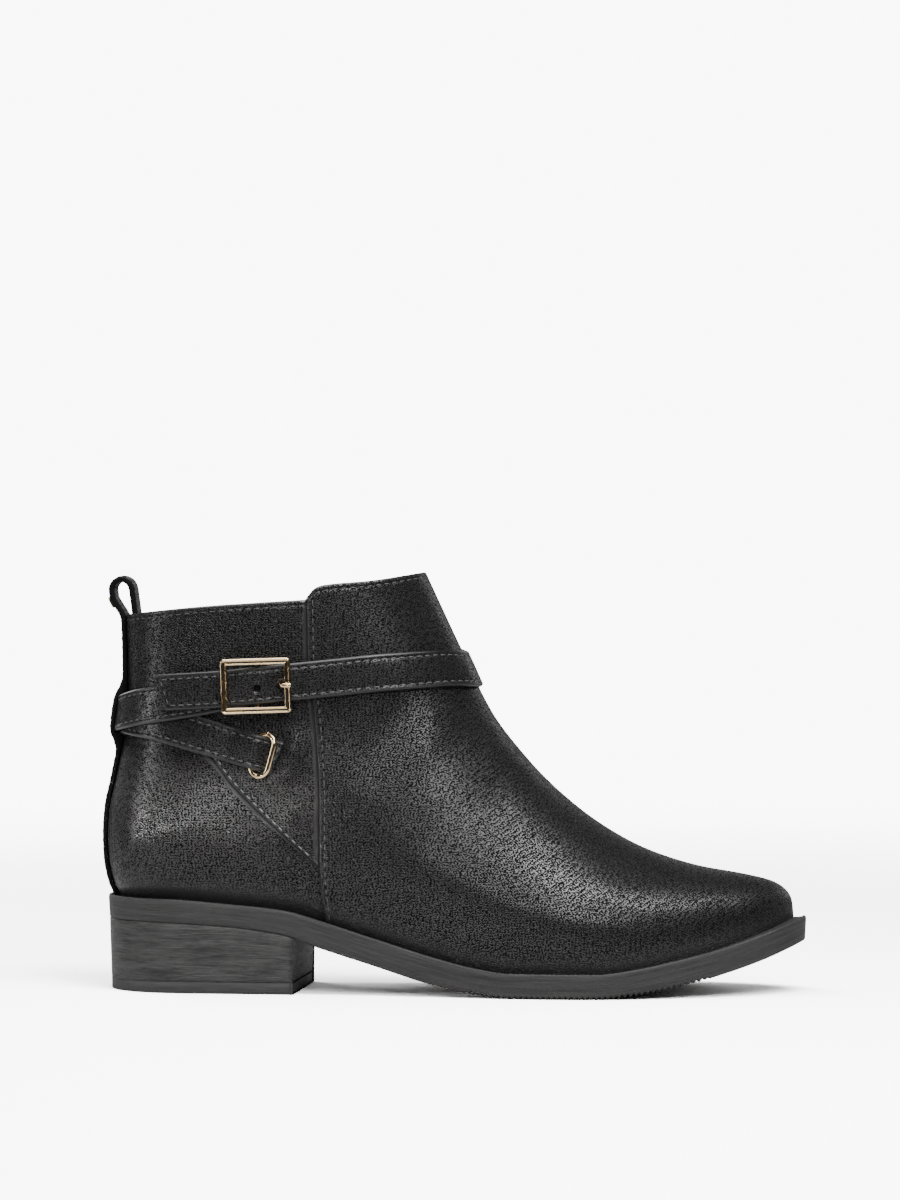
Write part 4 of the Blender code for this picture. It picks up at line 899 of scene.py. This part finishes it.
front_stops = [
    Stop(OUTER, 23.8, 112.9, OVER_TWO),
    Stop(OUTER, 46.3, 114.6, OVER_TWO),
    Stop(OUTER, BUCKLE_X, BUCKLE_Z, OVER_TWO + 0.2),
    Stop(OUTER, 74.7, 117.5, OVER_ONE - 0.2),
    Stop(OUTER, 83.0, 118.3, ON_VAMP + 0.3),
    Stop(OUTER, 92.0, 119.2, ON_VAMP),
    Stop(OUTER, 109.5, 120.9, ON_VAMP),
    Stop(OUTER, 128.0, 121.9, ON_VAMP),
    Stop(FRONT, None, 120.9, ON_VAMP),
    Stop(INNER, 128.0, 121.9, ON_VAMP),
    Stop(INNER, 109.5, 120.8, ON_VAMP),
    Stop(INNER, seam_x(118.0) + ZIP_EDGE, 118.0, ON_VAMP),
]
rear_stops = [
    Stop(OUTER, BUCKLE_X - 2.5, 115.9, OVER_ONE - 0.5),
    Stop(OUTER, 48.0, 113.5, OVER_ONE),
    Stop(OUTER, 37.4, 111.2, OVER_ONE),
    Stop(OUTER, 17.6, 107.5, OVER_ONE),
    Stop(BACK, None, STRAPS_AT_BACK_Z, OVER_ONE),
    Stop(INNER, 17.6, 107.2, OVER_ONE),
    Stop(INNER, 37.4, 110.3, OVER_ONE),
    Stop(INNER, 52.0, 112.6, ON_QUARTER + 0.5),
    Stop(INNER, seam_x(116.0) - ZIP_EDGE, 116.0, ON_QUARTER),
]
lower_stops = [
    Stop(OUTER, RING_X + 5.6, 88.3, ON_QUARTER - 0.3),
    Stop(OUTER, RING_X + ring_bar, 89.2, ON_QUARTER - 0.4),
    Stop(OUTER, RING_X - ring_bar, 91.0, ring_low + RING_WIRE + GAP),
    Stop(OUTER, 50.0, 94.0, ON_QUARTER),
    Stop(OUTER, 44.8, 95.6, ON_QUARTER),
    Stop(OUTER, 17.6, 102.3, ON_QUARTER),
    Stop(BACK, None, STRAPS_AT_BACK_Z, ON_QUARTER),
    Stop(INNER, 17.6, 102.3, ON_QUARTER),
    Stop(INNER, 44.8, 94.9, ON_QUARTER),
    Stop(INNER, seam_x(85.0) - ZIP_EDGE, 85.0, ON_QUARTER),
]
front_strap, front_lines = strap(
    "front_strap", "strap_front", front_stops, STRAP_WIDTH, slant=1.9, count=420, cross=2.4
)
rear_lines = strap("rear_strap", "strap_rear", rear_stops, STRAP_WIDTH)[1]
lower_lines = strap("lower_strap", "strap_lower", lower_stops, LOWER_WIDTH, cross=1.3)[1]
for which, lines in (("front", front_lines), ("rear", rear_lines), ("lower", lower_lines)):
    sewn(f"{which}_strap_stitching", lines, f"strap_{which}", strap_highlight_thread)

# Back strip and pull loop: a leather strip sewn up the back seam and over both straps, and above it a
# folded strip that stands on the collar as a finger loop and ends inside, with a small bare plate.
back_stops = [
    Stop(BACK, None, z, depth)
    for z, depth in (
        (35.0, ON_COUNTER),
        (89.5, ON_COUNTER),
        (93.4, ON_COUNTER + 1.7),
        (STRAPS_AT_BACK_Z - 7.1, OVER_TWO - 0.9),
        (STRAPS_AT_BACK_Z - 3.6, OVER_TWO - 0.4),
        (STRAPS_AT_BACK_Z, OVER_TWO - 0.25),
        (STRAPS_AT_BACK_Z + 3.6, OVER_TWO - 0.4),
        (STRAPS_AT_BACK_Z + 7.1, OVER_TWO - 0.9),
        (114.4, ON_QUARTER + 1.3),
        (118.5, ON_QUARTER),
        (142.2, ON_QUARTER),
    )
]
strap_foot, strap_head = STRAPS_AT_BACK_Z - STRAP_WIDTH / 2, STRAPS_AT_BACK_Z + STRAP_WIDTH / 2
strip_under = (
    (strap_foot - 0.25, strap_foot + 0.2, strap_head - 0.2, strap_head + 0.25),
    (ON_COUNTER, OVER_TWO, OVER_TWO, ON_QUARTER),
)
back_lines = strap(
    "back_strip_leather", "back_strip", back_stops, 11.0, 1.8, count=200, material=cut_leather,
    under=strip_under,
)[1]
sewn("back_strip_stitching", back_lines, "back_strip", seam_thread)
LOOP_X = (6.2, 5.6, 3.6, 1.9, 1.6, 2.9, 5.4, 7.9, 9.3, 9.8, 10.4, 10.8, 11.0)
LOOP_Z = (140.6, 142.2, 145.4, 148.6, 151.6, 154.2, 155.3, 154.3, 151.8, 148.5, 144.0, 140.0, 131.0)
LOOP_WIDTH, LOOP_THICKNESS = 11.0, 2.2
loop_run = walked(np.stack((LOOP_X, LOOP_Z), axis=1))
d = np.linspace(0, loop_run[-1], 120)
loop_line = np.stack((read(loop_run, LOOP_X, d), 0 * d, read(loop_run, LOOP_Z, d)), axis=1)
loop_ahead = unit(np.gradient(loop_line, axis=0))
loop_out = np.stack((-loop_ahead[:, 2], 0 * d, loop_ahead[:, 0]), axis=1)
section = strap_section(LOOP_WIDTH, LOOP_THICKNESS)
points = np.stack(
    [loop_line + np.array((0, w, 0)) + loop_out * (h - LOOP_THICKNESS / 2) for w, h in section], axis=1
)
loop_piece = lay("finger_loop", points, section_uv(section, LOOP_WIDTH, d), round_u=True, caps=True)
dress(loop_piece, cut_leather, ["pull_loop"])
loop_face = loop_line + loop_out * (LOOP_THICKNESS / 2 - 0.12)
loop_lines = [
    (loop_face + np.array((0, sign * (LOOP_WIDTH / 2 - 2.0), 0)), loop_out) for sign in (-1, 1)
]
sewn("loop_stitching", loop_lines, "pull_loop", seam_thread)

# Metal fittings: cast and plated in pale gold. The buckle is a square frame with bevelled bars and a
# hidden centre bar, its prong comes up through the strap, and the ring is a bent round wire.
gold, tree, bsdf = shader("pale_gold", (0.86, 0.66, 0.40), 0.16, 1.0)
place = add(tree, "TexCoord", {}, "Object")
noise = add(tree, "TexNoise", {"Vector": place, "Scale": 900.0, "Detail": 2.0})
feed(tree, bsdf, Roughness=add(tree, "MapRange", {0: noise, 3: 0.06, 4: 0.14}))


def fitting(x, z, side, lean=0.0):
    """Origin and axes (forward, up, outward) of a fitting on the last."""
    turn, t = place_at(x, z, side)
    place, along, up = surface(turn, t)
    out = outward(along, up)
    high = unit(np.array((0.0, 0.0, 1.0)) - out * out[2])
    ahead = np.cross(high, out) * -side
    c, s = math.cos(lean), math.sin(lean)
    return place, np.stack((c * ahead - s * high, c * high + s * ahead, out))


def placed(points, seat):
    return seat[0] + points @ seat[1]


def bar(name, path, section, up, seat, closed, material, node):
    """A section of (side, up) points carried along a path in a fitting's own axes."""
    path = np.asarray(path, float)
    if closed:
        ahead = np.roll(path, -1, axis=0) - np.roll(path, 1, axis=0)
    else:
        ahead = np.gradient(path, axis=0)
    ahead = unit(ahead)
    aside = unit(np.cross(ahead, np.asarray(up, float)))
    lift = np.cross(aside, ahead)
    section = np.asarray(list(section) + [section[0]], float)
    points = path[:, None] + aside[:, None] * section[None, :, :1] + lift[:, None] * section[None, :, 1:]
    if closed:
        points = np.concatenate((points, points[:1]))
    made = lay(name, placed(points, seat), round_u=True, round_v=closed, caps=True)
    dress(made, material, [node])


def round_corners(width, length, radius, steps):
    outline = []
    for corner in range(4):
        sign_x, sign_y = (1, -1, -1, 1)[corner], (1, 1, -1, -1)[corner]
        for step in range(steps + 1):
            angle = (corner + step / steps) * math.pi / 2
            outline.append((
                sign_x * (width / 2 - radius) + radius * math.cos(angle),
                sign_y * (length / 2 - radius) + radius * math.sin(angle),
            ))
    return outline


def circle(radius, sides):
    angles = [2 * math.pi * i / sides for i in range(sides)]
    return [(radius * math.cos(angle), radius * math.sin(angle)) for angle in angles]


ring_seat = fitting(RING_X, RING_Z, OUTER, math.radians(14))
ring_path = [
    (a, b, ring_low + (ring_high - ring_low) * (a + ring_bar) / (2 * ring_bar))
    for a, b in round_corners(2 * ring_bar, RING_HEIGHT - 2 * RING_WIRE, 3.6, 12)
]
bar("wire_ring", ring_path, circle(RING_WIRE, 18), (0, 0, 1), ring_seat, True, gold, "ring")

BUCKLE_LENGTH, BUCKLE_HEIGHT, BAR_WIDTH, BAR_THICKNESS = 26.4, 20.8, 2.5, 2.2
BUCKLE_CORNER = 0.3
half_length, half_height = (BUCKLE_LENGTH - BAR_WIDTH) / 2, (BUCKLE_HEIGHT - BAR_WIDTH) / 2
CENTRE_BAR, CENTRE_DEPTH, CENTRE_REACH = 0.9, 2.5, 8.0
buckle_seat = fitting(BUCKLE_X, BUCKLE_Z, OUTER, math.radians(-1.8))


def buckle_plane(a):
    return 6.6 - 1.7 * (a + half_length) / (2 * half_length)


a, b = BAR_WIDTH / 2, BAR_THICKNESS / 2
buckle_section = [
    (a, -b + 0.3), (a, b - 0.55), (a - 0.1, b - 0.25), (a - 0.3, b - 0.06), (a - 0.5, b), (a - 0.7, b - 0.06),
    (a - 0.8, b - 0.25), (a - 0.84, b - 0.48), (a - 0.93, b - 0.5), (a - 1.76, b - 0.5), (a - 1.85, b - 0.48),
    (a - 1.9, b - 0.36), (a - 2.0, b - 0.28), (a - 2.16, b - 0.27), (a - 2.35, b - 0.4), (-a, b - 0.75),
    (-a, -b + 0.3), (0.3 - a, -b), (a - 0.3, -b),
]
loops = []
for side, lift in buckle_section + buckle_section[:1]:
    outline = round_corners(
        2 * (half_length + side), 2 * (half_height + side), max(BUCKLE_CORNER + side, 0.12), 8
    )
    loops.append([(x, y, buckle_plane(x) + lift) for x, y in outline + outline[:1]])
points = np.array(loops).transpose(1, 0, 2)
square_buckle = lay("square_buckle", placed(points, buckle_seat), round_u=True, round_v=True, caps=True)
dress(square_buckle, gold, ["buckle_frame"])
bar_end = (
    (half_height - 0.3, buckle_plane(0) - 1.2), (CENTRE_REACH, CENTRE_DEPTH + 0.9),
    (7.4, CENTRE_DEPTH + 0.15), (6.6, CENTRE_DEPTH),
)
bar_path = [(0, b, c) for b, c in bar_end] + [(0, -b, c) for b, c in bar_end[::-1]]
wire = circle(CENTRE_BAR, 14)
bar("buckle_bar", bar_path, wire, (1, 0, 0), buckle_seat, False, gold, "buckle_frame")
PRONG_A = (CENTRE_BAR + GAP, 5.0, 8.3, 9.2, 9.5, 10.4, 12.0, 13.4)
PRONG_H = (2.0, 0.9, 1.1, 3.2, 5.6, 7.1, 7.3, 7.1)
prong_run = walked(np.stack((PRONG_A, PRONG_H), axis=1))
d = np.linspace(0, prong_run[-1], 60)
prong_path = np.stack((read(prong_run, PRONG_A, d), 0 * d, read(prong_run, PRONG_H, d)), axis=1)
bar("prong", prong_path, circle(0.9, 14), (0, 1, 0), buckle_seat, False, gold, "buckle_prong")

PLATE_LENGTH, PLATE_WIDTH, PLATE_THICKNESS = 4.4, 7.0, 0.7
low, high = np.array((3.4, 0.0, 145.6)), np.array((1.9, 0.0, 148.6))
plate_ahead = unit(high - low)
plate_out = np.array((-plate_ahead[2], 0.0, plate_ahead[0]))
plate_seat = (
    (low + high) / 2 + plate_out * (LOOP_THICKNESS / 2 + GAP + PLATE_THICKNESS / 2),
    np.stack((plate_ahead, np.array((0.0, 1.0, 0.0)), plate_out)),
)
plate_rings = []
for inset, z in ((0.4, -0.35), (0.0, -0.3), (0.0, 0.15), (0.1, 0.28), (0.3, 0.35), (1.6, 0.38)):
    outline = round_corners(PLATE_LENGTH - 2 * inset, PLATE_WIDTH - 2 * inset, max(1.0 - inset, 0.2), 6)
    plate_rings.append([(x, y, z) for x, y in outline + outline[:1]])
plate = lay("bare_plate", placed(np.array(plate_rings), plate_seat), round_u=True, caps=True)
dress(plate, gold, ["loop_plate"])

# Zip on the inner side: a woven tape sewn behind the two edges, a row of metal teeth along its middle,
# an end stop at the foot, and near the collar the slider with a plain pull tab that swings.
TAPE_DEPTH, TAPE_THICKNESS = -2.3, 1.0
TEETH_DEPTH = TAPE_DEPTH + TAPE_THICKNESS + GAP
ZIP_TOP, TOOTH_PITCH = 149.4, 1.45
SLIDER_Z, SLIDER_LENGTH, SLIDER_HALF = 142.0, 11.0, 4.1
zip_metal = shader("zip_metal", (0.70, 0.55, 0.34), 0.28, 1.0)[0]
tape_cloth = leather("tape_cloth", (0.012, 0.012, 0.012), 0.85, 0.00008, 0.45)
tape_stops = [Stop(INNER, seam_x(z), z, TAPE_DEPTH) for z in np.linspace(ZIP_FOOT + GAP, ZIP_TOP, 8)]
strap(
    "woven_tape", "zip_tape", tape_stops, 2 * (ZIP_HALF - GAP), TAPE_THICKNESS, count=120,
    material=tape_cloth,
)


def block(name, size, centre, bevel, seat, node):
    """A small metal block with rounded edges in a fitting's own axes."""
    bm = bmesh.new()
    bmesh.ops.create_cube(bm, size=1.0)
    bmesh.ops.scale(bm, vec=size, verts=bm.verts)
    bmesh.ops.bevel(bm, geom=bm.edges[:], offset=bevel, segments=3, profile=0.5, affect="EDGES", material=-1)
    bmesh.ops.translate(bm, vec=centre, verts=bm.verts)
    for vert in bm.verts:
        vert.co = (placed(np.array(vert.co), seat) - HEEL_POINT) * MM
    bmesh.ops.recalc_face_normals(bm, faces=bm.faces)
    dress(show(name, bm), zip_metal, [node])


zip_middle = seam_turn(INNER, 0.0)
place, along, up = surface(zip_middle, LEVELS)
run = walked(place)
teeth_from = np.interp(ZIP_FOOT + 5.2, place[:, 2], run)
teeth_to = np.interp(ZIP_TOP - 0.8, place[:, 2], run)
bm = bmesh.new()
for count, d in enumerate(np.arange(teeth_from, teeth_to, TOOTH_PITCH / 2)):
    t = np.interp(d, run, LEVELS)
    spot, ahead, high = surface(np.interp(t, LEVELS, zip_middle), t)
    out = outward(ahead, high)
    axis = unit(np.cross(high, out)) * -1
    tooth = bmesh.ops.create_cube(bm, size=1.0)["verts"]
    offset = 0.85 if count % 2 else -0.85
    for vert in tooth:
        w, h = vert.co.x * 2.9 + offset, vert.co.z * 1.4
        l = vert.co.y * 0.95 * (0.8 if h > 0 else 1.0)
        vert.co = (spot + axis * w + unit(high) * l + out * (TEETH_DEPTH + 0.75 + h) - HEEL_POINT) * MM
bmesh.ops.recalc_face_normals(bm, faces=bm.faces)
dress(show("teeth", bm), zip_metal, ["zip_teeth"])

stop_seat, stop_centre = fitting(seam_x(52.6), 52.6, INNER), (0, 0, TEETH_DEPTH + 0.85)
block("end_stop", (6.4, 4.0, 1.6), stop_centre, 0.4, stop_seat, "zip_stop")
slider_seat = fitting(seam_x(SLIDER_Z), SLIDER_Z, INNER)
slider_low = TEETH_DEPTH + 1.5 + GAP
slider_top = slider_low + 1.4
middle = (slider_low + slider_top) / 2
slider_size = (2 * SLIDER_HALF, SLIDER_LENGTH, 1.4)
block("slider_plate", slider_size, (0, 0, middle), 0.45, slider_seat, "zip_slider")
flange = slider_top - TEETH_DEPTH
for sign in (-1, 1):
    centre = (sign * 3.4, 0, slider_top - 0.1 - flange / 2)
    block("slider_flange", (1.4, SLIDER_LENGTH, flange - 0.2), centre, 0.3, slider_seat, "zip_slider")
bridge_end = ((2.7, -0.4), (2.65, 1.3), (2.4, 2.1), (1.7, 2.45))
bridge_path = [(0, b, slider_top + c) for b, c in bridge_end]
bridge_path += [(0, -b, slider_top + c) for b, c in bridge_end[::-1]]
bridge_section = round_corners(2.2, 1.05, 0.3, 3)
bar(
    "slider_bridge", bridge_path, bridge_section, (1, 0, 0), slider_seat, False, zip_metal, "zip_slider",
)
pivot = slider_top + 0.95
rings = []
outer, window = (6.2, 22.0, 1.1, -10.45), (3.2, 3.85, 0.5, -2.475)
for (width, length, radius, centre), inset, z in (
    (outer, 0.25, -0.55), (outer, 0.0, -0.3), (outer, 0.0, 0.3), (outer, 0.08, 0.47), (outer, 0.25, 0.55),
    (window, -0.12, 0.55), (window, 0.0, 0.42), (window, 0.0, -0.42), (window, -0.12, -0.55),
    (outer, 0.25, -0.55),
):
    outline = round_corners(width - 2 * inset, length - 2 * inset, max(radius - inset, 0.2), 5)
    rings.append([(x, y + centre, z + pivot) for x, y in outline + outline[:1]])
tab = lay("pull_tab", placed(np.array(rings), slider_seat), round_u=True, round_v=True, caps=True)
dress(tab, zip_metal, ["zip_pull"], "zip_pull")

# Strap holes: the prong's hole, punched right through the front strap, and one spare hole with a dished rim,
# closed at its foot by the strap's backing. Their walls take a UV edge value below nought, which paints them
# dark and dull as painted shade inside the holes.
holes = []
for name, a, b, levels in (
    ("prong_hole", 9.2, 0.0, ((-1.5, 1.2, -3.0), (9.0, 1.2, -3.0))),
    ("spare_hole", 0.5, -0.9, ((3.95, 0.95, -3.0), (4.6, 1.05, -3.0), (5.42, 1.7, 0.6), (9.0, 1.7, 0.6))),
):
    outline = circle(1.0, 32)
    rings = np.array([[(x * r + a, y * r + b, z) for x, y in outline + outline[:1]] for z, r, edge in levels])
    # Painted shade: the -3.0 edge value on the walls and floor makes the leather shader darken the inside of
    # each hole.
    uv = np.array([[(i, edge) for i in range(33)] for z, r, edge in levels])
    holes.append(lay(name, placed(rings, buckle_seat), uv, round_u=True, caps=True))
    punch = front_strap.modifiers.new(name, "BOOLEAN")
    punch.operation, punch.solver, punch.object = "DIFFERENCE", "EXACT", holes[-1]
whole = front_strap.evaluated_get(bpy.context.evaluated_depsgraph_get())
punched = bpy.data.meshes.new_from_object(whole)
front_strap.modifiers.clear()
front_strap.data = punched
for tool in holes:
    bpy.data.objects.remove(tool)

# Studio: a wide white floor and white surroundings. Soft lights stand over the boot, before its outer side,
# off its heel and behind it, three narrow ones pick out the heel, and a long lens looks from a little ahead.
FLOOR_HALF, NEAR, FAR, WHITE = 9.0, 0.3, 1.3, 9.5
bm = bmesh.new()
bmesh.ops.create_grid(bm, x_segments=1, y_segments=1, size=FLOOR_HALF)
floor = show("floor", bm)
paper = bpy.data.materials.new("floor_paper")
paper.use_nodes = True
tree = paper.node_tree
tree.nodes.remove(tree.nodes["Principled BSDF"])
seen = add(tree, "LightPath", {}, "Is Camera Ray")
away = add(tree, "VectorMath", {0: add(tree, "TexCoord", {}, "Object")}, 1, operation="LENGTH")


def fade(near, far, at_near, at_far):
    inputs = {0: away, 1: near, 2: far, 3: at_near, 4: at_far}
    return add(tree, "MapRange", inputs, interpolation_type="SMOOTHSTEP")


lit, thrown = fade(NEAR, FAR, 4.0, 0.0), fade(0.3, 0.75, 0.6, 0.06)
matt = add(tree, "BsdfDiffuse", {"Color": add(tree, "Mix", {0: seen, 2: thrown, 3: lit})})
shown = add(tree, "Math", {0: fade(NEAR, FAR, 0.0, WHITE), 1: seen}, operation="MULTIPLY")
both = add(tree, "AddShader", {0: matt, 1: add(tree, "Emission", {"Strength": shown})})
tree.links.new(both, tree.nodes["Material Output"].inputs["Surface"])
floor.data.materials.append(paper)

world = bpy.data.worlds.new("studio")
world.use_nodes = True
tree = world.node_tree
seen = add(tree, "LightPath", {}, "Is Camera Ray")
white = add(tree, "MapRange", {0: seen, 3: 0.05, 4: WHITE})
tree.links.new(white, tree.nodes["Background"].inputs["Strength"])
tree.nodes["Background"].inputs["Color"].default_value = (1.0, 1.0, 1.0, 1.0)
bpy.context.scene.world = world


def softbox(name, place, aim, width, height, power, spread=180.0):
    lamp = bpy.data.lights.new(name, "AREA")
    lamp.shape, lamp.size, lamp.size_y, lamp.energy = "RECTANGLE", width, height, power
    lamp.spread = math.radians(spread)
    made = bpy.data.objects.new(name, lamp)
    made.location = place
    made.rotation_euler = (Vector(aim) - Vector(place)).to_track_quat("-Z", "Y").to_euler()
    made.visible_camera = False
    bpy.context.scene.collection.objects.link(made)


softbox("top_box", (-0.2, -0.05, 1.05), (-0.15, 0.0, 0.08), 1.2, 0.4, 11.4)
softbox("vamp_box", (0.36, -0.4, 1.03), (0.03, 0.0, 0.06), 0.5, 0.5, 10.6)
softbox("front_box", (0.38, -0.94, 0.72), (0.0, 0.0, 0.08), 0.4, 0.4, 6.0)
softbox("side_box", (-0.12, -1.15, 0.62), (-0.05, 0.0, 0.08), 0.3, 0.25, 2.5)
softbox("left_box", (-1.04, -0.34, 0.3), (-0.1, 0.0, 0.09), 0.16, 0.6, 3.2)
for turn in (-14.0, -38.0, -62.0):
    az, el = math.radians(turn), math.radians(6.0)
    spot = np.array((math.sin(az) * math.cos(el), -math.cos(az) * math.cos(el), math.sin(el)))
    aim = np.array((-0.1, -0.02, 0.062))
    softbox(f"heel_spot_{-turn:.0f}", aim + 0.9 * spot, aim, 0.1, 0.03, 0.004, 4.0)
softbox("back_box", (0.0, 1.3, 0.45), (0.0, 0.0, 0.1), 1.6, 0.7, 1.6)
softbox("rear_left_box", (-0.9, 1.0, 0.6), (0.0, 0.0, 0.08), 0.5, 0.7, 4.0)
softbox("rear_right_box", (0.9, 1.0, 0.6), (0.0, 0.0, 0.08), 0.5, 0.7, 2.0)

YAW, PITCH, LENS, VIEW_HEIGHT = math.radians(6.5), math.radians(1.5), 200.0, 0.4545
lens = bpy.data.cameras.new("camera")
lens.lens, lens.sensor_width = LENS, 36.0
camera = bpy.data.objects.new("camera", lens)
right = Vector((math.cos(YAW), math.sin(YAW), 0.0))
aim = right * -0.00146 + Vector((0.0, 0.0, 0.1475))
toward = Vector((math.sin(YAW) * math.cos(PITCH), -math.cos(YAW) * math.cos(PITCH), math.sin(PITCH)))
camera.location = aim + toward * (VIEW_HEIGHT * LENS / 36.0)
camera.rotation_euler = (-toward).to_track_quat("-Z", "Y").to_euler()
bpy.context.scene.collection.objects.link(camera)
bpy.context.scene.camera = camera
